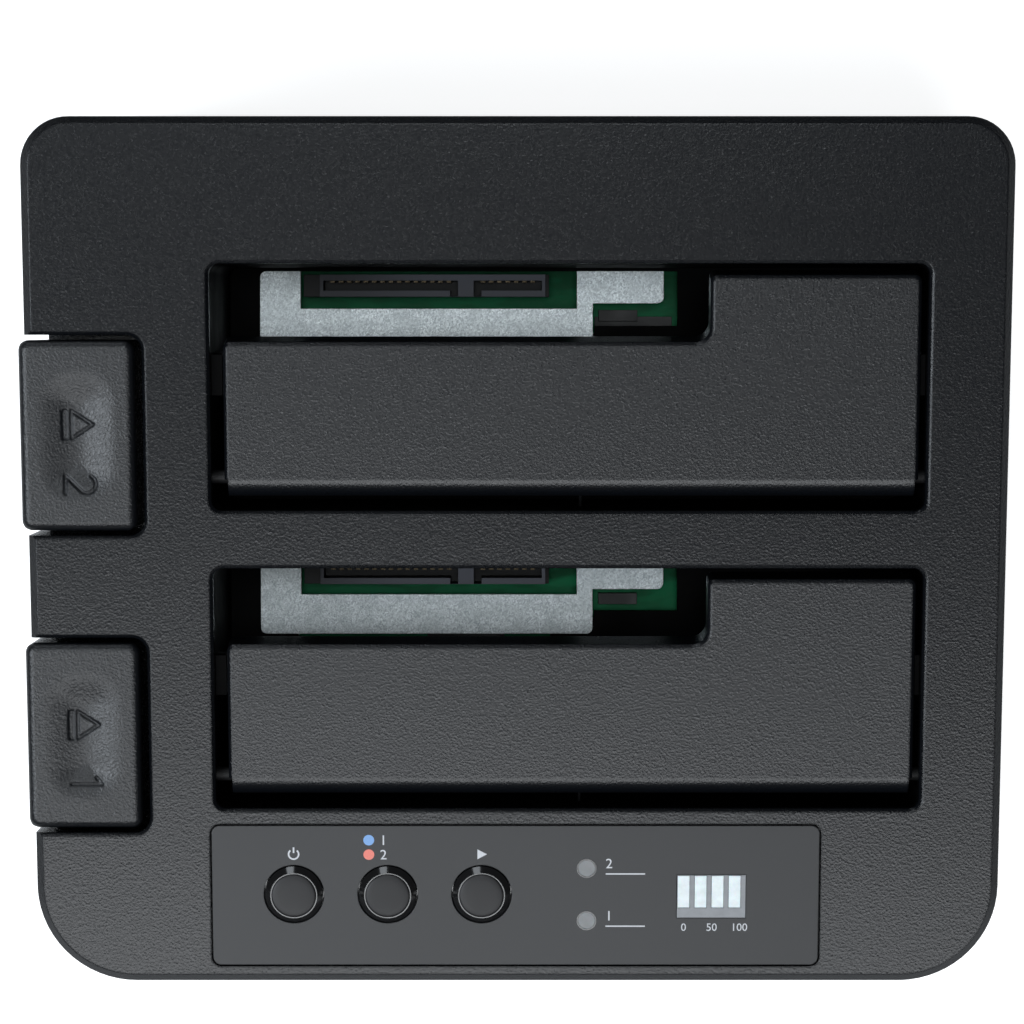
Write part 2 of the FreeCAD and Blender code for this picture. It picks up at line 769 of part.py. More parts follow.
def bay_frame(bay):
    """Walls and floor of one bay, measured from x = 0 in the bay's middle line and y = 0 at its rear wall."""
    body = new_body(f"bay_frame_{bay}")
    left, right = BAY_LEFT - S.frame_wall, BAY_LEFT + S.bay_width + S.frame_wall
    front, rear = -S.bay_depth - S.frame_wall, S.frame_wall
    pad(body, rectangle(sketch_on(body, "XY_Plane", FLOOR_BOTTOM), left, right, front, rear), S.shell_height)
    slope_cut(body, lambda y: top_at(y + bay_rear(bay)) - ROOF, front - SPARE, rear + SPARE, right + SPARE)
    well = sketch_on(body, "XY_Plane", S.shell_height + FLOOR_BOTTOM)
    inside = (BAY_LEFT, BAY_LEFT + S.bay_width, -S.bay_depth, ZERO)
    pocket(body, rectangle(well, *inside), S.shell_height - S.frame_floor)
    corners = [(inside[0], inside[2]), (inside[1], inside[2]), (inside[1], inside[3]), (inside[0], inside[3])]
    round_edges(body, S.bay_corner, upright_at(corners))
    low = FLOOR_BOTTOM - S.boss_drop
    guides = sketch_on(body, "XY_Plane", low)
    for number in (0, 1):
        (x0, x1), (y0, y1) = tab_room(number, S.guide_gap + S.guide_wall)
        rectangle(guides, x0, x1, y0, y1)
    ear_bottom = S.lever_pivot_z - S.lever_hub / 2
    ears = sketch_on(body, "XY_Plane", ear_bottom)
    half = S.ear_width / 2
    hub_front, hub_rear = lever_span()
    for y0, y1 in ((hub_front - S.lift_gap - S.ear_wall, hub_front - S.lift_gap),
                   (hub_rear + S.lift_gap, hub_rear + S.lift_gap + S.ear_wall)):
        rectangle(ears, S.lever_pivot_x - half, S.lever_pivot_x + half, y0, y1)
    window = sketch_on(body, "XY_Plane", S.frame_floor_top + SPARE)
    polygon(window, window_corners())
    pocket(body, window, S.frame_floor + 2 * SPARE)
    slot = sketch_on(body, "XY_Plane", S.frame_floor_top + SPARE)
    slot_half = S.lever_arm / 2 + S.lift_gap
    rectangle(slot, S.plate_left + S.lift_gap, S.cutout_left, -S.lever_tip_offset - slot_half,
              -S.lever_tip_offset + slot_half)
    pocket(body, slot, S.frame_floor + 2 * SPARE)
    pad(body, guides, S.frame_floor_top - low)
    pad(body, ears, FLOOR_BOTTOM - ear_bottom)
    slots = sketch_on(body, "XY_Plane", low - SPARE)
    for number in (0, 1):
        (x0, x1), (y0, y1) = tab_room(number, S.guide_gap)
        rectangle(slots, x0, x1, y0, y1)
    pocket(body, slots, S.frame_floor_top - low + 2 * SPARE, upward=True)
    pin_hole = sketch_on(body, "XZ_Plane", S.bay_depth)
    circle(pin_hole, S.lever_pivot_x, S.lever_pivot_z, S.lever_pin / 2)
    pocket(body, pin_hole, S.bay_depth)
    rod_seats(body, bay, right + SPARE)
    flap_stops(body, bay)
    return place(body, SHIFT_X, bay_rear(bay))


def rod_seats(body, bay, right_x):
    """Slots in both side walls, open at the top, which the flap's rod lies in under the cover."""
    middle, radius = S.hinge_inset - S.bay_depth, S.rod_diameter / 2
    pocket(body, circle(sketch_on(body, "YZ_Plane", right_x), middle, hinge_z(bay), radius))
    pocket(body, rectangle(sketch_on(body, "YZ_Plane", right_x), middle - radius, middle + radius,
                           hinge_z(bay), hinge_z(bay) + S.bay_depth))


def flap_place(bay, u, w):
    """A place on the flap's section, u along it from the hinge and w above, measured in the bay's frame."""
    y = S.hinge_inset - S.bay_depth + u * SLOPE_COS - w * SLOPE_SIN
    z = hinge_z(bay) + u * SLOPE_SIN + w * SLOPE_COS
    return y, z


def stop_along():
    return FLAP_SHORT - S.step_corner - S.stop_width


def flap_stops(body, bay):
    """Ledges on both side walls that the closed flap's tabs bear on from below."""
    low = -S.nose_radius + S.stop_height + S.stop_clearance
    high = low + S.stop_height
    along = stop_along()
    corners = [flap_place(bay, along, low), flap_place(bay, along + S.stop_width, low),
               flap_place(bay, along + S.stop_width, high), flap_place(bay, along, high)]
    wall_right = BAY_LEFT + S.bay_width
    pad(body, polygon(sketch_on(body, "YZ_Plane", BAY_LEFT), corners), S.flap_left_gap - S.stop_clearance)
    pad(body, polygon(sketch_on(body, "YZ_Plane", wall_right - S.flap_right_gap + S.stop_clearance), corners),
        S.flap_right_gap - S.stop_clearance)


# The spring flap: a moulded plate with a round nose on a steel rod.
def drive_flap(bay):
    body = new_body(f"drive_flap_{bay}")
    radius = S.nose_radius
    plate = sketch_on(body, "XY_Plane", -radius)
    pad(body, rectangle(plate, ZERO, FLAP_WIDTH, ZERO, FLAP_LENGTH), 2 * radius)
    notch = sketch_on(body, "XY_Plane", radius + SPARE)
    rectangle(notch, -S.stop_width, S.notch_width, FLAP_SHORT, FLAP_LENGTH + SPARE)
    pocket(body, notch)
    outer = [(ZERO, FLAP_SHORT), (FLAP_WIDTH, FLAP_LENGTH), (S.notch_width, FLAP_LENGTH)]
    round_edges(body, S.flap_corner, upright_at(outer))
    round_edges(body, S.step_corner, upright_at([(S.notch_width, FLAP_SHORT)]))

    def is_top_rim(edge):
        points = [vertex.Point for vertex in edge.Vertexes]
        flat = all(near(point.z, radius) for point in points)
        return flat and any(point.y > SAME for point in points)

    bevel_edges(body, S.flap_bevel, is_top_rim)
    nose = sketch_on(body, "YZ_Plane", S.flap_bevel)
    pad(body, circle(nose, ZERO, ZERO, radius), FLAP_WIDTH - 2 * S.flap_bevel)
    hollows = sketch_on(body, "XY_Plane", -radius - SPARE)
    flap_hollows(hollows)
    pocket(body, hollows, 2 * radius - S.flap_skin + SPARE, upward=True)
    tabs = sketch_on(body, "XY_Plane", -radius)
    along = stop_along()
    reach_left = S.flap_left_gap - S.stop_clearance
    reach_right = S.flap_right_gap - S.stop_clearance
    rectangle(tabs, -reach_left, S.flap_rim / 2, along, along + S.stop_width)
    rectangle(tabs, FLAP_WIDTH - S.flap_rim / 2, FLAP_WIDTH + reach_right, along, along + S.stop_width)
    pad(body, tabs, S.stop_height)
    bore = sketch_on(body, "YZ_Plane", FLAP_WIDTH + SPARE)
    circle(bore, ZERO, ZERO, S.rod_diameter / 2 + S.rod_gap)
    pocket(body, bore)
    coil = sketch_on(body, "YZ_Plane", spring_place() + S.spring_room)
    circle(coil, ZERO, ZERO, S.spring_bore)
    pocket(body, coil, S.spring_room)
    slot = sketch_on(body, "YZ_Plane", spring_place() + S.spring_room)
    rectangle(slot, -S.spring_bore, S.nose_radius + S.flap_rim + SPARE, -radius - SPARE, ZERO)
    pocket(body, slot, S.spring_room)
    left = BAY_LEFT + S.flap_left_gap
    return place(body, left + SHIFT_X, hinge_y(bay), hinge_z(bay), S.top_slope)


def cell_pitch():
    return (S.notch_width - S.flap_rim) / FLAP_CELLS


def cell_left(number):
    """Left edge of a hollow in the long part of the flap's underside."""
    return S.flap_rim + cell_pitch() * number


def spring_place():
    """Left edge of the spring's room, in the middle of one hollow."""
    return cell_left(SPRING_CELL) + (cell_pitch() - S.flap_rib - S.spring_room) / 2


def flap_hollows(sketch):
    """Pockets between the ribs of the flap's underside."""
    start = S.nose_radius + S.flap_rim
    for number in range(FLAP_CELLS):
        left = cell_left(number)
        rectangle(sketch, left, left + cell_pitch() - S.flap_rib, start, FLAP_SHORT - S.flap_rim)
    left = S.notch_width + S.flap_rim
    middle = (left + FLAP_WIDTH - S.flap_rim) / 2
    rectangle(sketch, left, middle - S.flap_rib / 2, start, FLAP_LENGTH - S.flap_rim)
    rectangle(sketch, middle + S.flap_rib / 2, FLAP_WIDTH - S.flap_rim, start, FLAP_LENGTH - S.flap_rim)


def flap_rod(bay):
    """A steel rod through the flap's nose, held in the side walls of the bay."""
    item = doc.addObject("Part::Cylinder", f"flap_rod_{bay}")
    item.Label = f"flap_rod_{bay}"
    length = S.bay_width + 2 * S.frame_wall
    bind(item, "Radius", S.rod_diameter / 2)
    bind(item, "Height", length)
    item.Placement = FreeCAD.Placement(FreeCAD.Vector(0, 0, 0), FreeCAD.Rotation(FreeCAD.Vector(0, 1, 0), 90))
    bind(item, "Placement.Base.x", BAY_LEFT - S.frame_wall + SHIFT_X)
    bind(item, "Placement.Base.y", hinge_y(bay))
    bind(item, "Placement.Base.z", hinge_z(bay))
    return item


def prism(label, x, y, z0, z1, diameter):
    """An upright many-sided bar."""
    item = doc.addObject("Part::Prism", label)
    item.Label = label
    item.Polygon = SLEEVE_SIDES
    bind(item, "Circumradius", diameter / 2)
    bind(item, "Height", z1 - z0)
    return place(item, x, y, z0)


def sleeve(label, x, y, z0, z1, coil, wire):
    """The outer and inner shape of a coil spring along Z."""
    outer = prism(label + "_outer", x, y, z0, z1, coil + wire)
    inner = prism(label + "_inner", x, y, z0 - SPARE, z1 + SPARE, coil - wire)
    return cut(label, outer, inner)


def flap_spring(bay):
    """A torsion spring round the rod, with one leg under the flap and one on the bay's front wall."""
    label = f"flap_spring_{bay}"
    radius = S.spring_coil / 2
    angle = S.top_slope + S.spring_angle
    front_reach = (S.hinge_inset - S.stop_clearance + radius * sine(angle)) / cosine(angle) - S.leg_width / 2
    winding = sleeve(label + "_winding", ZERO, ZERO, ZERO, S.spring_length, S.spring_coil, S.spring_wire)
    inner, outer = radius - S.leg_width / 2, radius + S.leg_width / 2
    rear_leg = box(label + "_rear_leg", inner, outer, ZERO, S.spring_leg, ZERO, S.leg_width)
    front_leg = box(label + "_front_leg", inner, outer, -front_reach, ZERO,
                    S.spring_length - S.leg_width, S.spring_length)
    flat = fuse(label + "_flat", [winding, rear_leg, front_leg])
    flat.Placement = FreeCAD.Placement(FreeCAD.Vector(0, 0, 0), FreeCAD.Rotation(FreeCAD.Vector(0, 1, 0), 90))
    inset = (S.spring_room - S.spring_length) / 2
    return place(group(label, [flat]), BAY_LEFT + S.flap_left_gap + spring_place() + inset + SHIFT_X,
                 hinge_y(bay), hinge_z(bay), angle)


# The eject mechanism: a push button, a lever under the bay and a plate that lifts the drive.
def eject_button(bay):
    body = new_body(f"button_shell_{bay}")
    bottom = button_bottom(bay)
    front, rear = -S.button_length / 2, S.button_length / 2
    pad(body, rectangle(sketch_on(body, "XY_Plane", bottom), BUTTON_LEFT, BUTTON_RIGHT, front, rear),
        S.shell_height + SPARE - bottom)
    round_edges(body, S.button_corner, is_upright)
    centre = button_y(bay)
    slope_cut(body, lambda y: top_at(y + centre), front - SPARE, rear + SPARE, BUTTON_RIGHT + SPARE)
    hollow = sketch_on(body, "XY_Plane", bottom)
    rectangle(hollow, BUTTON_LEFT + S.button_wall, BUTTON_RIGHT - S.button_wall,
              front + S.button_wall, rear - S.button_wall)
    pocket(body, hollow, S.button_skirt - S.button_roof, upward=True)
    stem_end = lever_top() + S.lift_gap
    stem = square(sketch_on(body, "XY_Plane", stem_end), STEM_X, ZERO, S.stem_size)
    pad(body, stem, bottom + S.button_skirt - stem_end)
    hook_bottom = pocket_floor(bay) - S.frame_wall - S.lift_gap - S.hook_height
    hook = square(sketch_on(body, "XY_Plane", hook_bottom), STEM_X, ZERO, S.hook_width)
    pad(body, hook, S.hook_height)
    item = cut(f"eject_button_{bay}", body, fuse(f"button_tools_{bay}", [button_rim(bay), button_dish(bay)]))
    return place(item, SHIFT_X, centre)


def on_button(item, bay):
    """Tilts an object that was made flat into the slope of the button's top."""
    return place(item, (BUTTON_LEFT + BUTTON_RIGHT) / 2, ZERO, top_at(button_y(bay)), S.top_slope)


def button_rim(bay):
    """What the bevels round the button's top take away: a slab less a block with bevelled edges."""
    bevel = S.button_bevel
    half_x, half_y = (BUTTON_RIGHT - BUTTON_LEFT) / 2, S.button_length / 2 / SLOPE_COS
    front, rear = -half_y - bevel * SLOPE_TAN, half_y - bevel * SLOPE_TAN
    block = new_body(f"button_block_{bay}")
    pad(block, rectangle(sketch_on(block, "XY_Plane", -2 * bevel), -half_x, half_x, front, rear), 2 * bevel)
    bevel_edges(block, bevel, lambda edge: all(near(vertex.Z, ZERO) for vertex in edge.Vertexes))
    slab = box(f"button_slab_{bay}", -half_x - SPARE, half_x + SPARE, front - SPARE, rear + SPARE,
               -bevel, SPARE)
    return on_button(cut(f"button_rim_{bay}", slab, block), bay)


def button_dish(bay):
    """A shallow tray shape with wide sloping sides, sunk into the slope of the button's top."""
    body = new_body(f"button_dish_{bay}")
    half_x, half_y = S.dish_width / 2, S.dish_length / 2
    sketch = sketch_on(body, "XY_Plane", -S.dish_sink)
    pad(body, rectangle(sketch, -half_x, half_x, -half_y, half_y), S.dish_sink + SPARE)
    round_edges(body, S.dish_corner, is_upright)
    sides = bevel_edges(body, S.dish_sink, lambda edge: all(near(v.Z, -S.dish_sink) for v in edge.Vertexes))
    sides.ChamferType = "Two distances"
    bind(sides, "Size2", S.dish_side)
    return on_button(body, bay)


def eject_spring(bay):
    """A compression spring round the button's stem, between the pocket's floor and the button's roof."""
    low = pocket_floor(bay)
    high = button_bottom(bay) + S.button_skirt - S.button_roof
    return sleeve(f"eject_spring_{bay}", STEM_X + SHIFT_X, button_y(bay), low, high,
                  S.eject_coil, S.eject_wire)


def lever_top():
    return S.lever_pivot_z + S.lever_rise


def eject_lever(bay):
    """A hub on a pin with one arm under the button's stem and one under the ejector plate."""
    label = f"eject_lever_{bay}"
    hub_front, hub_rear = lever_span()
    x, z = S.lever_pivot_x, S.lever_pivot_z
    hub_half, half, tip = S.lever_hub / 2, S.lever_bar / 2, S.lever_tip / 2
    hub = box(label + "_hub", x - hub_half, x + hub_half, hub_front, hub_rear, z - hub_half, z + hub_half)
    end_x = x - LEVER_OUTER
    outer = lever_arm(label + "_outer", button_y(2) - bay_rear(2),
                      [(end_x - half, z - half), (x, z - half), (x, z + half), (end_x + half, z + half),
                       (end_x + half, lever_top()), (end_x - half, lever_top())])
    tip_x, tip_z = x + S.lever_reach, S.frame_floor_top - S.lift_gap - tip
    inner = lever_arm(label + "_inner", -S.lever_tip_offset,
                      [(x, z - half), (tip_x + tip, tip_z - half), (tip_x + tip, tip_z + tip),
                       (tip_x - tip, tip_z + tip), (tip_x - tip, tip_z), (x, z + half)])
    bore = cross_cylinder(label + "_bore", x, hub_front - SPARE, hub_rear + SPARE, z,
                          S.lever_pin + 2 * S.pin_gap)
    solid = fuse(label + "_solid", [hub, outer, inner])
    return place(cut(label, solid, bore), SHIFT_X, bay_rear(bay))


def lever_arm(label, middle_y, corners):
    """An arm of the lever, drawn from the front, with a raised end that pushes or is pushed."""
    body = new_body(label)
    pad(body, polygon(sketch_on(body, "XZ_Plane", -middle_y - S.lever_arm / 2), corners), S.lever_arm)
    return body


def lever_pin(bay):
    hub_front, hub_rear = lever_span()
    spare = S.lift_gap + S.ear_wall
    item = cross_cylinder(f"lever_pin_{bay}", S.lever_pivot_x + SHIFT_X, bay_rear(bay) + hub_front - spare,
                          bay_rear(bay) + hub_rear + spare, S.lever_pivot_z, S.lever_pin)
    return item


def ejector_plate(bay):
    """A stamped steel plate round the socket, with two tabs bent down that guide it in the bay's floor."""
    body = new_body(f"ejector_plate_{bay}")
    rear, front = -S.plate_rear_gap, -S.plate_depth
    corners = [(S.plate_left, front), (S.notch_left, front), (S.notch_left, -S.arm_depth),
               (S.plate_right, -S.arm_depth), (S.plate_right, rear), (S.cutout_right, rear),
               (S.cutout_right, -S.cutout_depth), (S.cutout_left, -S.cutout_depth), (S.cutout_left, rear),
               (S.plate_left, rear)]
    pad(body, polygon(sketch_on(body, "XY_Plane", S.frame_floor_top), corners), S.plate_thickness)
    outer = [corners[i] for i in (0, 1, 3, 9)]
    round_edges(body, S.plate_corner, upright_at(outer))
    tabs = sketch_on(body, "XY_Plane", S.frame_floor_top + S.plate_thickness - S.tab_length)
    for number in (0, 1):
        (x0, x1), (y0, y1) = tab_room(number, ZERO)
        rectangle(tabs, x0, x1, y0, y1)
    pad(body, tabs, S.tab_length)
    return place(body, SHIFT_X, bay_rear(bay))


# The drive sockets: a slot for power and one for data, each with its key, and a row of contacts.
def socket_rear():
    return -S.socket_rear_gap


def slot_middle():
    return socket_rear() - S.socket_depth / 2


def slots():
    """Left and right end of the power slot and of the data slot."""
    power = S.socket_left + S.socket_end
    data = power + S.power_slot + S.slot_divider
    return (power, power + S.power_slot), (data, data + S.signal_slot)


def drive_socket(bay):
    body = new_body(f"drive_socket_{bay}")
    left, right = S.socket_left, slots()[1][1] + S.socket_end
    rear, front = socket_rear(), socket_rear() - S.socket_depth
    pad(body, rectangle(sketch_on(body, "XY_Plane", BOARD_TOP), left, right, front, rear), S.socket_height)
    posts = sketch_on(body, "XY_Plane", BOARD_TOP)
    rectangle(posts, left - S.socket_post, left, front, rear)
    rectangle(posts, right, right + S.socket_end, front, rear)
    pad(body, posts, S.socket_height - S.socket_foot)
    blades = sketch_on(body, "XY_Plane", SOCKET_TOP + SPARE)
    half = S.slot_opening / 2
    (power_left, power_right), (data_left, data_right) = slots()
    middle = slot_middle()
    low, high = middle - half, middle + half
    polygon(blades, [(power_left, low), (power_right - S.key_length, low),
                     (power_right - S.key_length, low - S.slot_key), (power_right, low - S.slot_key),
                     (power_right, high), (power_left, high)])
    polygon(blades, [(data_left, low - S.slot_key), (data_left + S.key_length, low - S.slot_key),
                     (data_left + S.key_length, low), (data_right, low), (data_right, high),
                     (data_left, high)])
    pocket(body, blades, S.slot_sink + SPARE)
    return place(body, SHIFT_X, bay_rear(bay))


def socket_contacts(bay):
    """Spring contacts along the rear wall of both slots."""
    items = []
    high = slot_middle() + S.slot_opening / 2
    power, data = slots()
    for name, (left, right), count in (("power", power, POWER_CONTACTS), ("data", data, DATA_CONTACTS)):
        start = (left + right) / 2 - S.contact_pitch * (count - 1) / 2
        for number in range(count):
            middle = start + S.contact_pitch * number + SHIFT_X
            items.append(box(f"contact_{bay}_{name}_{number + 1}", middle - S.contact_width / 2,
                             middle + S.contact_width / 2, bay_rear(bay) + high - S.contact_stand,
                             bay_rear(bay) + high, SOCKET_TOP - S.slot_sink, SOCKET_TOP - S.contact_width))
    return group(f"socket_contacts_{bay}", items)


# The main board with its ports and parts.
def standoff_places():
    left, right = BOARD_LEFT + S.standoff_inset, BOARD_RIGHT - S.standoff_inset
    front, rear = BOARD_FRONT + S.standoff_inset, BOARD_REAR - S.standoff_inset
    return [(left, front), (right, front), (right, rear), (left, rear)]


def main_board():
    return box("main_board", BOARD_LEFT + SHIFT_X, BOARD_RIGHT + SHIFT_X, BOARD_FRONT, BOARD_REAR,
               S.board_bottom, BOARD_TOP)


def board_chips():
    """The copy controller, the bridge chip beside it and a small chip in each bay's window."""
    half = S.chip_size / 2
    items = []
    spots = ((S.usb_x, BOARD_FRONT + S.chip_size), (S.esata_x, BOARD_FRONT + half * 3),
             (S.usb_x, BOARD_REAR - S.usb_depth - S.chip_size))
    for number, (x, y) in enumerate(spots, start=1):
        items.append(box(f"chip_{number}", x - half + SHIFT_X, x + half + SHIFT_X, y - half, y + half,
                         BOARD_TOP, BOARD_TOP + S.chip_height))
    for bay in BAYS:
        left = S.notch_left + SPARE + SHIFT_X
        rear = bay_rear(bay) - S.arm_depth - SPARE
        items.append(box(f"bay_chip_{bay}", left, left + half, rear - S.socket_depth / 2, rear,
                         BOARD_TOP, BOARD_TOP + 2 * S.chip_height))
    return group("board_chips", items)


def port_tube(label, x, width, height, depth):
    """A folded metal shell, open to the rear."""
    body = new_body(label)
    rear = PORT_FACE
    outer = sketch_on(body, "XZ_Plane", -rear)
    pad(body, rectangle(outer, -width / 2, width / 2, BOARD_TOP, BOARD_TOP + height), depth)
    bevel_edges(body, S.port_bevel, is_along_depth)
    inner = sketch_on(body, "XZ_Plane", -rear)
    wall = S.port_wall
    rectangle(inner, -width / 2 + wall, width / 2 - wall, BOARD_TOP + wall, BOARD_TOP + height - wall)
    pocket(body, inner, depth - wall, upward=True)
    return place(body, x + SHIFT_X)


def is_along_depth(edge):
    start, end = edge.Vertexes[0].Point, edge.Vertexes[-1].Point
    return near(start.x, end.x) and near(start.z, end.z) and not near(start.y, end.y)


def port_tongue(label, x, width, height, depth, tongue_width, tongue_height):
    """The plastic inside of a port: a block at its back and a tongue in the middle."""
    rear = PORT_FACE
    wall = S.port_wall
    back = rear - depth + wall
    middle = BOARD_TOP + height / 2
    block = box(label + "_block", x - width / 2 + wall, x + width / 2 - wall, back, back + S.port_block,
                BOARD_TOP + wall, BOARD_TOP + height - wall)
    tongue = box(label + "_blade", x - tongue_width / 2, x + tongue_width / 2, back, rear - 2 * wall,
                 middle - tongue_height / 2, middle + tongue_height / 2)
    return place(fuse(label, [block, tongue]), SHIFT_X)


def power_jack():
    x, rear = JACK_X, PORT_FACE
    middle = BOARD_TOP + S.jack_height - S.jack_mouth / 2 - S.jack_top_wall
    body = box("jack_block", x - S.jack_width / 2, x + S.jack_width / 2, rear - S.jack_depth, rear,
               BOARD_TOP, BOARD_TOP + S.jack_height)
    mouth = cross_cylinder("jack_mouth", x, rear - S.jack_depth + S.shell_wall, rear + SPARE, middle,
                           S.jack_mouth)
    return place(cut("power_jack", body, mouth), SHIFT_X)


def jack_pin():
    middle = BOARD_TOP + S.jack_height - S.jack_mouth / 2 - S.jack_top_wall
    front = PORT_FACE - S.jack_depth + S.shell_wall
    return cross_cylinder("jack_pin", JACK_X + SHIFT_X, front, PORT_FACE - SPARE, middle, S.jack_pin)


# The control panel and what sits behind it, all made flat and then tilted with the slope.
def key_x(number):
    return S.key_first_x + S.key_pitch * number


def lens_y(number):
    return S.lens_y + S.lens_pitch * (0.5 - number)


def control_panel():
    body = new_body("control_panel")
    half_x, half_y = S.panel_width / 2, S.panel_length / 2
    pad(body, rectangle(sketch_on(body, "XY_Plane", -S.panel_thickness), -half_x, half_x, -half_y, half_y),
        S.panel_thickness)
    round_edges(body, S.panel_corner, is_upright)
    holes = sketch_on(body, "XY_Plane", as_size(SPARE))
    for number in range(KEYS):
        circle(holes, key_x(number), S.key_y, S.key_hole / 2)
    for number in (0, 1):
        circle(holes, S.lens_x, lens_y(number), S.lens_diameter / 2 + S.fit_gap)
    reach_x, reach_y = S.display_width / 2 + S.fit_gap, S.display_length / 2 + S.fit_gap
    rectangle(holes, S.display_x - reach_x, S.display_x + reach_x,
              S.display_y - reach_y, S.display_y + reach_y)
    pocket(body, holes)
    posts = sketch_on(body, "XY_Plane", -S.panel_board_sink)
    for x, y in post_places():
        square(posts, x, y, S.post_size)
    pad(body, posts, S.panel_board_sink - S.panel_thickness)
    return on_panel(body)


def post_places():
    """Where the panel's four posts stand on its board."""
    x = S.panel_width / 2 - S.panel_board_margin - S.post_inset
    y = S.panel_length / 2 - S.panel_board_margin - S.post_inset
    return [(-x, -y), (x, -y), (x, y), (-x, y)]


def panel_key(label, number):
    """A round push button: a bevelled head and a square flange behind the panel that bears on the switch."""
    body = new_body(label + "_body")
    seat = S.panel_thickness + S.key_seat_gap
    flange = square(sketch_on(body, "XY_Plane", -key_bottom()), ZERO, ZERO, S.key_flange)
    pad(body, flange, S.key_flange_height)
    pad(body, circle(sketch_on(body, "XY_Plane", -seat), ZERO, ZERO, S.key_body / 2), seat)
    head = doc.addObject("Part::Cone", label + "_head")
    bind(head, "Radius1", S.key_body / 2)
    bind(head, "Radius2", S.key_cap / 2)
    bind(head, "Height", S.key_rise)
    return on_panel(fuse(label, [body, head]), key_x(number), S.key_y)


def key_bottom():
    return S.panel_thickness + S.key_seat_gap + S.key_flange_height


def key_switches():
    """A small square switch with its plunger behind each push button."""
    items = []
    half, plunger_half = S.switch_size / 2, S.plunger_size / 2
    low = -S.panel_board_sink
    top = -key_bottom() - S.key_travel - S.key_seat_gap
    for number in range(KEYS):
        base = box(f"switch_{number}_base", -half, half, -half, half, low, top - S.plunger_height)
        plunger = box(f"switch_{number}_plunger", -plunger_half, plunger_half, -plunger_half, plunger_half,
                      top - S.plunger_height, top)
        items.append(on_panel(fuse(f"switch_{number}", [base, plunger]), key_x(number), S.key_y))
    return group("key_switches", items)


def status_lens(number):
    """A light pipe through the panel, down to its lamp."""
    low = -(S.panel_board_sink - S.lamp_height - S.key_seat_gap)
    pipe = cylinder(f"status_lens_{number + 1}", ZERO, ZERO, low, ZERO, S.lens_diameter)
    return on_panel(pipe, S.lens_x, lens_y(number), low)


def status_lamps():
    half = S.lamp_size / 2
    low = -S.panel_board_sink
    items = [on_panel_box(f"lamp_{number}", S.lens_x - half, S.lens_x + half, lens_y(number) - half,
                          lens_y(number) + half, low, low + S.lamp_height) for number in (0, 1)]
    return group("status_lamps", items)


def on_panel_box(label, x0, x1, y0, y1, z0, z1):
    return on_panel(box(label, x0, x1, y0, y1, z0, z1), x0, y0, z0)


def progress_window():
    """A diffusing window with a pocket for each light bar."""
    half_x, half_y = S.display_width / 2, S.display_length / 2
    depth = S.panel_board_sink
    body = new_body("progress_window")
    pad(body, rectangle(sketch_on(body, "XY_Plane", -depth), -half_x, half_x, -half_y, half_y), depth)
    pockets = sketch_on(body, "XY_Plane", ZERO)
    for number in range(LIGHT_BARS):
        left, right, front, rear = bar_edges(number, S.fit_gap)
        rectangle(pockets, left, right, front, rear)
    pocket(body, pockets, S.bar_height)
    return on_panel(body, S.display_x, S.display_y)


def bar_edges(number, gap):
    """Left, right, front and rear edge of a light bar, from the middle of the window."""
    left = -S.display_width / 2 + S.bar_pitch * number + S.bar_margin
    rear = S.display_length / 2 - S.bar_margin
    return left - gap, left + S.bar_width + gap, rear - S.bar_length - gap, rear + gap


def progress_bars():
    items = []
    for number in range(LIGHT_BARS):
        left, right, front, rear = bar_edges(number, ZERO)
        items.append(on_panel_box(f"bar_{number}", S.display_x + left, S.display_x + right,
                                  S.display_y + front, S.display_y + rear, -S.bar_height, ZERO))
    return group("progress_bars", items)


def panel_board():
    half_x = S.panel_width / 2 - S.panel_board_margin
    half_y = S.panel_length / 2 - S.panel_board_margin
    top = -S.panel_board_sink
    return on_panel_box("panel_board", -half_x, half_x, -half_y, half_y, top - S.panel_board_thickness, top)


def export(items):
    """Checks every object of the document, then writes each sub-part to its own file."""
    doc.recompute()
    for item in doc.Objects:
        if "Invalid" in item.State or "Error" in item.State:
            raise RuntimeError(f"{item.Name} is {item.State}")
    for item in items:
        if item.Shape.isNull() or not item.Shape.isValid():
            raise RuntimeError(f"{item.Label} has no valid shape")
    for item in items:
        item.Shape.exportStep(f"parts/{item.Label}.step")
        bounds = item.Shape.BoundBox
        print(f"{item.Label:22s} {len(item.Shape.Solids):3d} {item.Shape.Volume / 1000:9.3f} cm3  "
              f"x {bounds.XMin:7.2f} {bounds.XMax:7.2f}  y {bounds.YMin:7.2f} {bounds.YMax:7.2f}  "
              f"z {bounds.ZMin:6.2f} {bounds.ZMax:6.2f}")


def build():
    items = [top_cover(), base_tray(), feet(), main_board(), board_chips(), power_jack(), jack_pin()]
    items.append(port_tube("usb_shell", S.usb_x, S.usb_width, S.usb_height, S.usb_depth))
    items.append(port_tongue("usb_insert", S.usb_x, S.usb_width, S.usb_height, S.usb_depth,
                             S.usb_tongue_width, S.usb_tongue_height))
    items.append(port_tube("esata_shell", S.esata_x, S.esata_width, S.esata_height, S.esata_depth))
    items.append(port_tongue("esata_insert", S.esata_x, S.esata_width, S.esata_height, S.esata_depth,
                             S.esata_tongue_width, S.esata_tongue_height))
    for bay in BAYS:
        items += [bay_frame(bay), drive_flap(bay), flap_rod(bay), flap_spring(bay), eject_button(bay),
                  eject_spring(bay), eject_lever(bay), lever_pin(bay), ejector_plate(bay), drive_socket(bay),
                  socket_contacts(bay)]
    items += [control_panel(), panel_board(), key_switches(), status_lamps(), progress_window(),
              progress_bars(), status_lens(0), status_lens(1)]
    for number, label in enumerate(("power_button", "mode_button", "start_button")):
        items.append(panel_key(label, number))
    export(items)


build()
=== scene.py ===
import json
import math

import bmesh
import bpy
from mathutils import Matrix, Vector

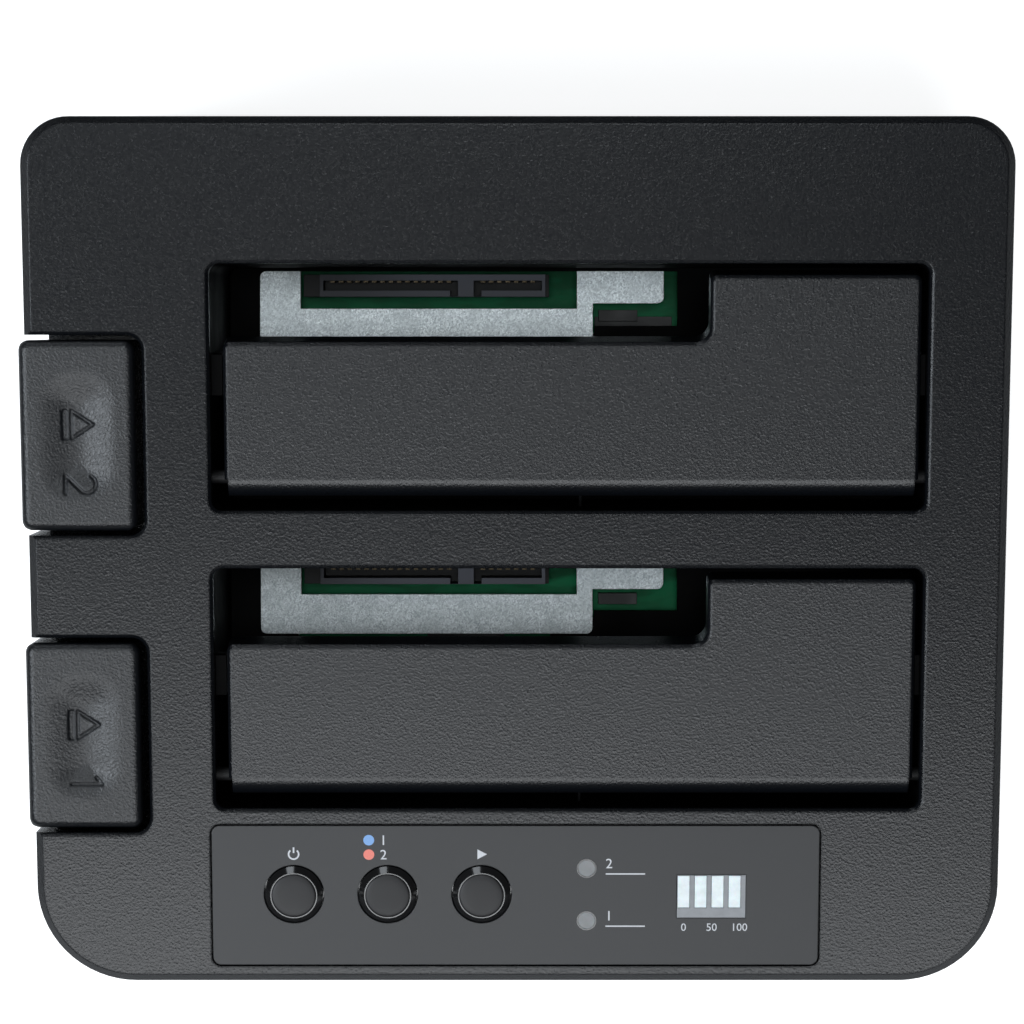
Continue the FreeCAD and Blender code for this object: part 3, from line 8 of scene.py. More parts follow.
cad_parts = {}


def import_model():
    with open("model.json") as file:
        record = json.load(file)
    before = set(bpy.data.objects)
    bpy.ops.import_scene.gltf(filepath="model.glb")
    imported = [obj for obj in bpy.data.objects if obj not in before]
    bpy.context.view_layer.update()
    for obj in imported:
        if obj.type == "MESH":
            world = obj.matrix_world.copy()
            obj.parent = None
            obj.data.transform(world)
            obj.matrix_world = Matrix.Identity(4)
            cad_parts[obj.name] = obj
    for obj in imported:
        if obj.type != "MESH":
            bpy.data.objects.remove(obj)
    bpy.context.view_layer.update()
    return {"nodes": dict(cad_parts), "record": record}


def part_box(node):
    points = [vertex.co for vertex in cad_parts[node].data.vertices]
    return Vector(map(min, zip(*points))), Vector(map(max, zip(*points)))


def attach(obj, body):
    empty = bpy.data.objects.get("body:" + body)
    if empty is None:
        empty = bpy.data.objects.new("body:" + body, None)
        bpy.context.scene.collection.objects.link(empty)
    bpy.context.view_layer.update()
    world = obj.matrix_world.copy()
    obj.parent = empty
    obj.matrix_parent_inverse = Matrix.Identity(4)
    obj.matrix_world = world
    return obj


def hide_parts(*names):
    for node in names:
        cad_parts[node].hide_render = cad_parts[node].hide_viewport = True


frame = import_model()
nodes = frame["nodes"]

MM = 0.001
BAYS = (1, 2)

# The slope of the top and the control panel, as in the CAD model.
# Sizes are in mm, and places on the panel are measured from its middle.
SLOPE = math.radians(8.76)
PANEL_MIDDLE = Vector((0.125, -50.2, 46.517)) * MM
PANEL_FRAME = Matrix.Translation(PANEL_MIDDLE) @ Matrix.Rotation(SLOPE, 4, "X")
KEY_X = (-32.6, -18.8, -5.0)
KEY_Y = 0.2
CAP_RADIUS = 3.3
KEY_RISE = 0.8
LENS_X = 10.45
LENS_Y = (4.15, -3.85)
LENS_RADIUS = 1.25
RING_WIDTH = 0.22
RING_HEIGHT = 0.05
ROUND_STEPS = 48

# The cap of a round button: radius and height from its middle to its rim.
CAP_PROFILE = ((0.0, 0.16), (1.2, 0.155), (2.2, 0.14), (2.9, 0.11), (3.15, 0.06), (CAP_RADIUS, 0.0),
               (CAP_RADIUS, -0.05))

# The signs and numbers printed on the panel.
PRINT_HEIGHT = 0.03
SIGN_ROW = 6.3
POWER_INNER = 0.62
POWER_OUTER = 0.86
POWER_START = 130
POWER_END = 410
POWER_BAR_HALF = 0.12
POWER_BAR_LOW = 0.2
POWER_BAR_HIGH = 1.05
START_BACK = 0.6
START_TIP = 0.8
START_HALF = 0.75
UPPER_ROW = 8.45
LOWER_ROW = 6.25
MODE_NUMBER_LEFT = 0.6
MODE_DOT_LEFT = 2.75
DOT_RADIUS = 0.8
LABEL_HEIGHT = 1.45
LABEL_RIGHT = 3.3
LABEL_RISE = 0.75
LINE_LEFT = 2.8
LINE_RIGHT = 8.6
LINE_LOW = -0.95
LINE_HIGH = -0.75
SCALE_NUMBERS = (("0", 24.75), ("50", 28.9), ("100", 33.1))
SCALE_Y = -4.85
SCALE_HEIGHT = 1.15

# The rim of the drive sockets, and how far below it painted shade darkens them, in mm.
SOCKET_TOP = 20.0
SOCKET_SHADE = 1.2

# Colours are linear.
PRINT_WHITE = (0.62, 0.63, 0.66)
HOUSING = (0.0025, 0.0031, 0.0043)
# The bay frame's own black, made darker than the housing as painted shade in the bay gaps.
FRAME_BLACK_AND_SHADE = (0.0014, 0.0014, 0.0016)

# The soft skin of an eject button, in mm.
CROWN_WIDTH = 1.2
CROWN_DROP = 1.15
SKIN_LIFT = 0.3
BUTTON_CORNER = 1.5
DISH_HALF_LENGTH = 9.65
DISH_HALF_WIDTH = 5.85
DISH_CORNER = 5.0
DISH_DEPTH = 0.8
DISH_SIDE = DISH_HALF_WIDTH
GROOVE_DEPTH = 0.25
GROOVE_HALF = 0.3
GRID_RIM = 0.15
GRID_WIDE = 0.3
GRID_FINE = 0.09
NUMBER_HEIGHT = 4.4
NUMBER_Y = -7.0
SIGN_X = 0.3
SIGN_Y = 1.6
ENGRAVED_X = (-2.6, 2.9)
ENGRAVED_Y = (NUMBER_Y - 2.2, SIGN_Y + 2.6)

# The flap springs, in mm, as in the CAD model.
LEG_ANGLE = math.radians(14)
LEG_ROOT = 1.8
LEG_LENGTH = 7.0
LEG_WIDTH = 0.4
LEG_SPARE = 0.01
COIL_RADIUS = 1.5

# The stage.
FLOOR_HALF = 4.0
FLOOR_COLOUR = (0.8, 0.8, 0.8)
FLOOR_GLOW = 0.74
WORLD_LIGHT = 0.03
LAMP_AIM = Vector((0, 0, 0.03))
LAMPS = (
    # name, place in metres, width, height, power in watts, colour
    ("front_light", (-0.07, -0.84, 1.25), 1.6, 0.45, 11.5, (0.94, 0.97, 1.0)),
    ("left_light", (-0.8, -0.3, 1.2), 0.5, 0.5, 11.0, (0.86, 0.93, 1.0)),
    ("rear_light", (-0.35, 1.15, 0.8), 0.6, 0.6, 3.0, (0.88, 0.94, 1.0)),
    ("top_light", (0.0, 0.08, 1.35), 0.3, 0.3, 2.8, (0.92, 0.97, 1.0)),
)

# The camera, with its place in mm and its lean in degrees.
CAMERA_PLACE = (-0.4, 33.3, 629.9)
CAMERA_LEAN = -2.65
CAMERA_LENS = 140.13


# Materials.
class Nodes:
    """A material's node tree with short calls for its nodes and links."""

    def __init__(self, name):
        self.material = bpy.data.materials.new(name)
        self.material.use_nodes = True
        self.tree = self.material.node_tree
        self.shader = self.tree.nodes["Principled BSDF"]
        self.coordinates = self.tree.nodes.new("ShaderNodeTexCoord").outputs["Object"]

    def link(self, source, target):
        self.tree.links.new(source, target)

    def noise(self, size, detail=2.0, roughness=0.5, distortion=0.0, stretch=None):
        """Noise whose features are about size millimetres wide."""
        node = self.tree.nodes.new("ShaderNodeTexNoise")
        node.inputs["Scale"].default_value = 1 / (size * MM)
        node.inputs["Detail"].default_value = detail
        node.inputs["Roughness"].default_value = roughness
        node.inputs["Distortion"].default_value = distortion
        source = self.coordinates
        if stretch:
            mapping = self.tree.nodes.new("ShaderNodeMapping")
            mapping.inputs["Scale"].default_value = stretch
            self.link(source, mapping.inputs["Vector"])
            source = mapping.outputs["Vector"]
        self.link(source, node.inputs["Vector"])
        return node.outputs["Fac"]

    def cells(self, size, output):
        """Cells about size millimetres wide: the Distance from the middle of each, or its own Color."""
        node = self.tree.nodes.new("ShaderNodeTexVoronoi")
        node.inputs["Scale"].default_value = 1 / (size * MM)
        self.link(self.coordinates, node.inputs["Vector"])
        return node.outputs[output]

    def ramp(self, source, stops):
        """A colour ramp; each stop is a place and a colour or a grey."""
        node = self.tree.nodes.new("ShaderNodeValToRGB")
        elements = node.color_ramp.elements
        while len(elements) < len(stops):
            elements.new(0.5)
        for element, (place, tone) in zip(elements, stops):
            colour = (tone, tone, tone) if isinstance(tone, (int, float)) else tone
            element.position = place
            element.color = (*colour, 1)
        self.link(source, node.inputs["Fac"])
        return node.outputs["Color"]

    def mix(self, factor, first, second):
        node = self.tree.nodes.new("ShaderNodeMix")
        node.data_type = "RGBA"
        for socket, value in ((node.inputs[0], factor), (node.inputs[6], first), (node.inputs[7], second)):
            if isinstance(value, bpy.types.NodeSocket):
                self.link(value, socket)
            elif isinstance(value, (int, float)):
                socket.default_value = value
            else:
                socket.default_value = (*value, 1)
        return node.outputs[2]

    def math(self, operation, first, second):
        node = self.tree.nodes.new("ShaderNodeMath")
        node.operation = operation
        for socket, value in zip(node.inputs, (first, second)):
            if isinstance(value, bpy.types.NodeSocket):
                self.link(value, socket)
            else:
                socket.default_value = value
        return node.outputs[0]

    def bump(self, source, height, strength=1.0, edge=0.0):
        """Bump from source, height millimetres high, over edges rounded by edge millimetres."""
        node = self.tree.nodes.new("ShaderNodeBump")
        node.inputs["Strength"].default_value = strength
        node.inputs["Distance"].default_value = height * MM
        self.link(source, node.inputs["Height"])
        if edge:
            self.link(self.edge(edge), node.inputs["Normal"])
        return node.outputs["Normal"]

    def edge(self, radius):
        node = self.tree.nodes.new("ShaderNodeBevel")
        node.samples = 4
        node.inputs["Radius"].default_value = radius * MM
        return node.outputs["Normal"]

    def finish(self, colour, roughness, normal=None, **fixed):
        """Sets the shader's sockets; names with underscores stand for spaces."""
        values = {"Base Color": colour, "Roughness": roughness, "Normal": normal}
        values.update({name.replace("_", " "): value for name, value in fixed.items()})
        for name, value in values.items():
            if value is None:
                continue
            socket = self.shader.inputs[name]
            if isinstance(value, bpy.types.NodeSocket):
                self.link(value, socket)
            elif isinstance(value, (int, float)):
                socket.default_value = value
            else:
                socket.default_value = (*value, 1)
        return self.material


def tinted(colour, factor):
    return tuple(part * factor for part in colour)


def grained_plastic(name, colour, grain=0.36, height=0.012, low=0.22, high=0.28, edge=0.45, shine=0.36):
    """Moulded plastic with a fine even grain, mixed from small dimples and soft waves."""
    n = Nodes(name)
    fine = n.noise(grain, detail=1.5, distortion=0.4)
    dimples = n.cells(grain, "Distance")
    relief = n.math("ADD", dimples, n.math("MULTIPLY", fine, 2.0))
    broad = n.noise(28, detail=2.0)
    tone = n.ramp(fine, ((0.32, tinted(colour, 0.72)), (0.68, tinted(colour, 1.3))))
    tone = n.mix(n.ramp(broad, ((0.35, 0.0), (0.65, 0.35))), tone, tinted(colour, 1.15))
    gloss = n.ramp(fine, ((0.3, high), (0.7, low)))
    return n.finish(tone, gloss, n.bump(relief, height, 1.0, edge), Specular_IOR_Level=shine)


def smooth_plastic(name, colour, low=0.3, high=0.42, edge=0.15, **fixed):
    """Smooth moulded plastic with faint flow marks."""
    n = Nodes(name)
    marks = n.noise(9, detail=4.0, roughness=0.6)
    fine = n.noise(0.5, detail=2.0)
    tone = n.ramp(marks, ((0.3, tinted(colour, 0.9)), (0.7, tinted(colour, 1.12))))
    gloss = n.ramp(marks, ((0.3, low), (0.7, high)))
    return n.finish(tone, gloss, n.bump(fine, 0.004, 0.4, edge), **fixed)


def panel_satin():
    """Hard-coated satin panel with a very fine texture."""
    n = Nodes("panel_satin")
    fine = n.noise(0.16, detail=2.0, roughness=0.6)
    broad = n.noise(35, detail=1.0)
    colour = (0.0165, 0.017, 0.0185)
    tone = n.ramp(broad, ((0.3, tinted(colour, 0.94)), (0.7, tinted(colour, 1.08))))
    gloss = n.ramp(fine, ((0.3, 0.38), (0.7, 0.46)))
    return n.finish(tone, gloss, n.bump(fine, 0.006, 0.5, 0.2), Specular_IOR_Level=0.4)


def zinc_plate(name, share):
    """Zinc-plated sheet with a mottled crystalline surface; share lightens or darkens the whole sheet as
    painted light or shade.
    """
    n = Nodes(name)
    cell = n.cells(0.22, "Color")
    spots = n.noise(3.0, detail=3.0, roughness=0.6)
    grain = n.noise(0.2, detail=2.0, roughness=0.6)
    dark, bright = tinted((0.40, 0.44, 0.46), share), tinted((0.84, 0.89, 0.90), share)
    grey = n.ramp(cell, ((0.1, dark), (0.9, bright)))
    dull = n.ramp(spots, ((0.35, 0.0), (0.65, 0.5)))
    tone = n.mix(dull, grey, tinted((0.42, 0.46, 0.47), share))
    gloss = n.ramp(grain, ((0.3, 0.34), (0.7, 0.55)))
    return n.finish(tone, gloss, n.bump(grain, 0.05, 1.0, 0.15), Metallic=1.0)


def worn_metal(name, colour, low, high, size=0.5):
    """Bare or plated metal with fine marks."""
    n = Nodes(name)
    marks = n.noise(size, detail=4.0, roughness=0.6)
    tone = n.ramp(marks, ((0.3, tinted(colour, 0.85)), (0.7, colour)))
    gloss = n.ramp(marks, ((0.3, low), (0.7, high)))
    return n.finish(tone, gloss, n.bump(marks, 0.004, 0.4, 0.08), Metallic=1.0)


def circuit_board(name):
    """Green solder mask with faint broad copper areas below it."""
    n = Nodes(name)
    copper = n.noise(5.0, detail=1.0, stretch=(1, 3, 1))
    fine = n.noise(0.5, detail=2.0)
    tone = n.ramp(copper, ((0.42, (0.002, 0.17, 0.062)), (0.55, (0.003, 0.22, 0.082))))
    gloss = n.ramp(fine, ((0.3, 0.4), (0.7, 0.5)))
    return n.finish(tone, gloss, n.bump(fine, 0.004, 0.4), Specular_IOR_Level=0.1)


def connector_with_painted_shade(name):
    """Black moulding with painted shade that darkens its sockets towards their floor."""
    n = Nodes(name)
    split = n.tree.nodes.new("ShaderNodeSeparateXYZ")
    n.link(n.coordinates, split.inputs[0])
    depth = n.math("SUBTRACT", split.outputs["Z"], (SOCKET_TOP - SOCKET_SHADE) * MM)
    share = n.math("DIVIDE", depth, SOCKET_SHADE * MM)
    # Painted shade: near black below the sockets' rim, the moulding's own dark grey above it.
    tone = n.ramp(share, ((0.1, (0.0015, 0.0015, 0.0018)), (0.9, (0.085, 0.088, 0.105))))
    fine = n.noise(0.4, detail=2.0)
    return n.finish(tone, 0.5, n.bump(fine, 0.004, 0.4, 0.1), Specular_IOR_Level=0.3)


def rubber(name):
    n = Nodes(name)
    fine = n.noise(0.3, detail=3.0)
    tone = n.ramp(fine, ((0.3, 0.012), (0.7, 0.024)))
    return n.finish(tone, 0.85, n.bump(fine, 0.02, 0.6, 0.3))


def light_pipe(name, colour, depth=0.0):
    """Translucent plastic over a lamp that is off."""
    n = Nodes(name)
    cloud = n.noise(1.2, detail=3.0)
    tone = n.ramp(cloud, ((0.3, tinted(colour, 0.9)), (0.7, tinted(colour, 1.06))))
    normal = n.bump(cloud, 0.01, 0.3, 0.1)
    return n.finish(tone, 0.32, normal, Subsurface_Weight=depth, Subsurface_Scale=0.002)


def print_ink(name, colour):
    n = Nodes(name)
    fine = n.noise(0.1, detail=2.0)
    tone = n.ramp(fine, ((0.3, tinted(colour, 0.85)), (0.7, colour)))
    return n.finish(tone, 0.5, n.bump(fine, 0.003, 0.3))


MATERIALS = {
    "housing_black": grained_plastic("housing_black", HOUSING),
    "flap_black": grained_plastic("flap_black", tinted(HOUSING, 1.1),
                                  grain=0.34, height=0.017, low=0.27, high=0.34, shine=0.42),
    "button_black": grained_plastic("button_black", tinted(HOUSING, 1.2),
                                    grain=0.38, height=0.025, low=0.32, high=0.4, shine=0.42),
    # Its black is darkened as painted shade in the bay gaps.
    "frame_black": smooth_plastic("frame_black", FRAME_BLACK_AND_SHADE, 0.5, 0.65, Specular_IOR_Level=0.05),
    "panel_satin": panel_satin(),
    "key_black": smooth_plastic("key_black", (0.008, 0.008, 0.0085), 0.1, 0.16, 0.12, Coat_Weight=0.4),
    "cap_grey": smooth_plastic("cap_grey", (0.005, 0.005, 0.006), 0.4, 0.46, 0.2, Specular_IOR_Level=0.34),
    "window_grey": light_pipe("window_grey", (0.21, 0.22, 0.235)),
    "bar_white": light_pipe("bar_white", (0.76, 0.80, 0.81), 0.2),
    "lens_grey": light_pipe("lens_grey", (0.175, 0.18, 0.185), 0.2),
    "board_green": circuit_board("board_green"),
    "chip_black": smooth_plastic("chip_black", (0.018, 0.018, 0.018), 0.4, 0.6, 0.1),
    "connector_black": connector_with_painted_shade("connector_black"),
    "insert_blue": smooth_plastic("insert_blue", (0.012, 0.07, 0.38), 0.35, 0.5, 0.1),
    # Gold darkened far below its own colour, as painted shade deep in the sockets.
    "contact_gold": worn_metal("contact_gold", (0.07, 0.055, 0.035), 0.35, 0.5),
    # Lit and shaded copies of one zinc: the rear bay's plate is brightened as painted light, and the front
    # bay's is darkened as painted shade.
    "zinc_plate": zinc_plate("zinc_plate", 1.1),
    "zinc_painted_shade": zinc_plate("zinc_painted_shade", 0.82),
    "pin_steel": smooth_plastic("pin_steel", (0.006, 0.006, 0.0065), 0.5, 0.6, 0.1, Specular_IOR_Level=0.2),
    "spring_steel": smooth_plastic("spring_steel", (0.005, 0.005, 0.0055), 0.5, 0.6, 0.1,
                                   Specular_IOR_Level=0.1),
    "port_metal": worn_metal("port_metal", (0.62, 0.62, 0.63), 0.16, 0.32, 0.8),
    "foot_rubber": rubber("foot_rubber"),
    "print_white": print_ink("print_white", PRINT_WHITE),
    "print_blue": print_ink("print_blue", (0.20, 0.39, 0.73)),
    "print_red": print_ink("print_red", (0.84, 0.22, 0.17)),
}

# The flaps have a grain of their own, and the plate of the front bay gets the darker copy of the zinc, as
# painted shade.
OWN_MATERIALS = {
    "drive_flap_1": "flap_black",
    "drive_flap_2": "flap_black",
    "ejector_plate_1": "zinc_painted_shade",
}


def dress_nodes():
    """Gives every CAD node the material of its slot, or its own."""
    slots = {entry["node"]: entry["material_slot"] for entry in frame["record"]["subparts"]}
    for name, item in nodes.items():
        material = OWN_MATERIALS.get(name, slots[name])
        item.data.materials.clear()
        item.data.materials.append(MATERIALS[material])


# Pieces.
def piece(name, mesh, body, material):
    """A piece whose vertices are in the part's frame."""
    item = bpy.data.objects.new(name, mesh)
    bpy.context.scene.collection.objects.link(item)
    mesh.materials.clear()
    mesh.materials.append(MATERIALS[material])
    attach(item, body)
    return item


def mesh_of(name, bm):
    bmesh.ops.recalc_face_normals(bm, faces=bm.faces)
    mesh = bpy.data.meshes.new(name)
    bm.to_mesh(mesh)
    bm.free()
    return mesh


def add_prism(bm, corners, low, high):
    """A flat shape, given by its corners in millimetres, between two heights."""
    bottom = [bm.verts.new((x * MM, y * MM, low * MM)) for x, y in corners]
    top = [bm.verts.new((x * MM, y * MM, high * MM)) for x, y in corners]
    bm.faces.new(bottom[::-1])
    bm.faces.new(top)
    for number in range(len(corners)):
        following = (number + 1) % len(corners)
        bm.faces.new((bottom[number], bottom[following], top[following], top[number]))


def add_disc(bm, x, y, radius, steps=32):
    turn = 2 * math.pi / steps
    corners = [(x + radius * math.cos(turn * i), y + radius * math.sin(turn * i)) for i in range(steps)]
    add_prism(bm, corners, 0.0, PRINT_HEIGHT)


def add_arc(bm, x, y, inner, outer, start, end, height=PRINT_HEIGHT, steps=32):
    """Part of a flat ring; angles in degrees."""
    angles = [math.radians(start + (end - start) * i / steps) for i in range(steps + 1)]
    for one, two in zip(angles, angles[1:]):
        corners = [(x + r * math.cos(a), y + r * math.sin(a))
                   for r, a in ((inner, one), (outer, one), (outer, two), (inner, two))]
        add_prism(bm, corners, 0.0, height)


def add_bar(bm, left, right, front, rear, low=0.0, high=PRINT_HEIGHT):
    add_prism(bm, [(left, front), (right, front), (right, rear), (left, rear)], low, high)


def number_mesh(text, height):
    """A plain number as a flat mesh in metres, centred at the origin, height millimetres tall."""
    curve = bpy.data.curves.new("number_" + text, "FONT")
    curve.body = text
    curve.resolution_u = 4
    holder = bpy.data.objects.new("number_holder", curve)
    bpy.context.scene.collection.objects.link(holder)
    bpy.context.view_layer.update()
    mesh = bpy.data.meshes.new_from_object(holder.evaluated_get(bpy.context.evaluated_depsgraph_get()))
    bpy.data.objects.remove(holder)
    bm = bmesh.new()
    bm.from_mesh(mesh)
    bmesh.ops.remove_doubles(bm, verts=bm.verts, dist=0.0001)
    low = Vector(map(min, zip(*(v.co for v in bm.verts))))
    high = Vector(map(max, zip(*(v.co for v in bm.verts))))
    scale = height * MM / (high.y - low.y)
    bmesh.ops.translate(bm, verts=bm.verts, vec=-(low + high) / 2)
    bmesh.ops.scale(bm, verts=bm.verts, vec=(scale, scale, scale))
    raised = bmesh.ops.extrude_face_region(bm, geom=bm.faces[:])
    top = [item for item in raised["geom"] if isinstance(item, bmesh.types.BMVert)]
    bmesh.ops.translate(bm, verts=top, vec=(0, 0, PRINT_HEIGHT * MM))
    return bm


def add_number(bm, text, x, y, height):
    number = number_mesh(text, height)
    bmesh.ops.translate(number, verts=number.verts, vec=(x * MM, y * MM, 0))
    copy = bpy.data.meshes.new("number")
    number.to_mesh(copy)
    number.free()
    bm.from_mesh(copy)
    bpy.data.meshes.remove(copy)


def on_panel(name, bm, material, body="root"):
    """A piece drawn flat on the panel, tilted into place."""
    bm.transform(PANEL_FRAME)
    piece(name, mesh_of(name, bm), body, material)


def panel_print():
    """Generic signs and numbers in place of words."""
    white = bmesh.new()
    power_x, mode_x, start_x = KEY_X
    add_arc(white, power_x, SIGN_ROW, POWER_INNER, POWER_OUTER, POWER_START, POWER_END)
    add_bar(white, power_x - POWER_BAR_HALF, power_x + POWER_BAR_HALF,
            SIGN_ROW + POWER_BAR_LOW, SIGN_ROW + POWER_BAR_HIGH)
    for number, y in (("1", UPPER_ROW), ("2", LOWER_ROW)):
        add_number(white, number, mode_x - MODE_NUMBER_LEFT, y, LABEL_HEIGHT)
    triangle = [
        (start_x - START_BACK, SIGN_ROW - START_HALF),
        (start_x + START_TIP, SIGN_ROW),
        (start_x - START_BACK, SIGN_ROW + START_HALF),
    ]
    add_prism(white, triangle, 0.0, PRINT_HEIGHT)
    for number, y in zip(("2", "1"), LENS_Y):
        add_number(white, number, LENS_X + LABEL_RIGHT, y + LABEL_RISE, LABEL_HEIGHT)
        add_bar(white, LENS_X + LINE_LEFT, LENS_X + LINE_RIGHT, y + LINE_LOW, y + LINE_HIGH)
    for text, x in SCALE_NUMBERS:
        add_number(white, text, x, SCALE_Y, SCALE_HEIGHT)
    on_panel("panel_print", white, "print_white")
    for name, y in (("print_blue", UPPER_ROW), ("print_red", LOWER_ROW)):
        dot = bmesh.new()
        add_disc(dot, mode_x - MODE_DOT_LEFT, y, DOT_RADIUS)
        on_panel(name + "_dot", dot, name)


def key_cap(name, number):
    """A satin cap with a rounded rim on the bevelled head of a button."""
    bm = bmesh.new()
    rings = []
    for radius, height in CAP_PROFILE[1:]:
        rings.append([bm.verts.new((radius * MM * math.cos(2 * math.pi * i / ROUND_STEPS),
                                    radius * MM * math.sin(2 * math.pi * i / ROUND_STEPS), height * MM))
                      for i in range(ROUND_STEPS)])
    middle = bm.verts.new((0, 0, CAP_PROFILE[0][1] * MM))
    for i in range(ROUND_STEPS):
        following = (i + 1) % ROUND_STEPS
        bm.faces.new((middle, rings[0][i], rings[0][following]))
        for inner, outer in zip(rings, rings[1:]):
            bm.faces.new((inner[i], outer[i], outer[following], inner[following]))
    bm.faces.new(rings[-1][::-1])
    for face in bm.faces:
        face.smooth = len(face.verts) < 5
    place = Vector((KEY_X[number], KEY_Y, KEY_RISE)) * MM
    bmesh.ops.translate(bm, verts=bm.verts, vec=place)
    on_panel(name + "_cap", bm, "cap_grey", name)


def drop_onto(target, point):
    """Height of the target's surface under a point."""
    hit, place = target.ray_cast(Vector((point.x, point.y, 0.2)), Vector((0, 0, -1)))[:2]
    return place.z if hit else point.z


def open_steps(corners):
    return [(Vector(one), Vector(two)) for one, two in zip(corners, corners[1:])]


def closed_steps(corners):
    return open_steps(corners + corners[:1])


def number_steps(bay):
    """A plain 1 or 2 drawn with one line, lying on its side and read from the left."""
    half = NUMBER_HEIGHT / 2
    if bay == 1:
        upright = [(-0.35 * half, 0.62 * half), (0.1 * half, half), (0.1 * half, -half)]
    else:
        bow = NUMBER_HEIGHT * 0.29
        angles = [math.radians(150 - 190 * step / 14) for step in range(15)]
        upright = [(bow * math.cos(angle), half - bow + bow * math.sin(angle)) for angle in angles]
        upright += [(-bow, -half), (1.1 * bow, -half)]
    return open_steps([(y, -x) for x, y in upright])


def moved(pairs, x, y):
    return [(one + Vector((x, y)), two + Vector((x, y))) for one, two in pairs]


def step_distance(point, pair):
    """Distance of a point from a straight step."""
    one, two = pair
    along = two - one
    share = max(0.0, min(1.0, (point - one).dot(along) / max(along.length_squared, 1e-9)))
    return (one + along * share - point).length


def inset(x, y, half_x, half_y, corner):
    """How far a point lies inside a rounded rectangle; less than zero outside."""
    across = abs(x) - half_x + corner
    along = abs(y) - half_y + corner
    outside = math.hypot(max(across, 0.0), max(along, 0.0))
    return corner - outside - min(max(across, along), 0.0)


def soft_step(share):
    share = max(0.0, min(1.0, share))
    return share * share * (3 - 2 * share)


def grid_lines(half, fine_from, fine_to):
    """Places of grid lines from one side to the other, close together at the rim and over the engraving."""
    places = [-half]
    while places[-1] < half:
        here = places[-1]
        gap = GRID_RIM if half - abs(here) < CROWN_WIDTH + 0.3 else GRID_WIDE
        if fine_from <= here < fine_to:
            gap = GRID_FINE
        places.append(min(here + gap, half))
    return places


def rounded(x, y, half_x, half_y, corner):
    """Moves a point of a rectangle to its place in the same rectangle with rounded corners."""
    across = (abs(x) - half_x + corner) / corner
    along = (abs(y) - half_y + corner) / corner
    if across <= 0 or along <= 0:
        return x, y
    new_x = half_x - corner + corner * across * math.sqrt(1 - along * along / 2)
    new_y = half_y - corner + corner * along * math.sqrt(1 - across * across / 2)
    return math.copysign(new_x, x), math.copysign(new_y, y)


def button_signs(bay):
    """The engraved lines: a generic eject sign and the bay's number below it."""
    triangle = closed_steps([(-1.2, 2.0), (-1.2, -2.0), (1.9, 0.0)])
    bar = closed_steps([(-2.3, 2.0), (-2.3, -2.0), (-1.9, -2.0), (-1.9, 2.0)])
    return moved(triangle + bar, SIGN_X, SIGN_Y) + moved(number_steps(bay), SIGN_X, NUMBER_Y)


def button_skin(bay):
    """The soft crown and dish of an eject button, with its engraving, just over the planed CAD crown."""
    body = f"eject_button_{bay}"
    target = nodes[body]
    low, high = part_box(body)
    middle = (low + high) / 2
    half_x, half_y = (high.x - low.x) / 2 / MM, (high.y - low.y) / 2 / MM
    flat = half_y - 2 * CROWN_WIDTH
    rear = drop_onto(target, middle + Vector((0, flat * MM, 0)))
    front = drop_onto(target, middle - Vector((0, flat * MM, 0)))
    signs = button_signs(bay)
    columns = grid_lines(half_x, *ENGRAVED_X)
    rows = grid_lines(half_y, *ENGRAVED_Y)
    bm = bmesh.new()
    grid = []
    for row in rows:
        line = []
        for column in columns:
            x, y = rounded(column, row, half_x, half_y, BUTTON_CORNER)
            rim = max(inset(x, y, half_x, half_y, BUTTON_CORNER), 0.0)
            share = max(0.0, 1 - rim / CROWN_WIDTH)
            drop = CROWN_DROP * (1 - math.sqrt(1 - share * share))
            side = inset(x, y, DISH_HALF_WIDTH, DISH_HALF_LENGTH, DISH_CORNER)
            drop += DISH_DEPTH * soft_step(side / DISH_SIDE)
            if rim > 2 * CROWN_WIDTH:
                nearest = min(step_distance(Vector((x, y)), pair) for pair in signs)
                drop += GROOVE_DEPTH * max(0.0, 1 - (nearest / GROOVE_HALF) ** 2)
            height = (front + rear) / 2 + (rear - front) / 2 * y / flat + (SKIN_LIFT - drop) * MM
            line.append(bm.verts.new((middle.x + x * MM, middle.y + y * MM, height)))
        grid.append(line)
    for one, two in zip(grid, grid[1:]):
        for number in range(len(columns) - 1):
            bm.faces.new((one[number], one[number + 1], two[number + 1], two[number])).smooth = True
    label = f"button_skin_{bay}"
    piece(label, mesh_of(label, bm), body, "button_black")


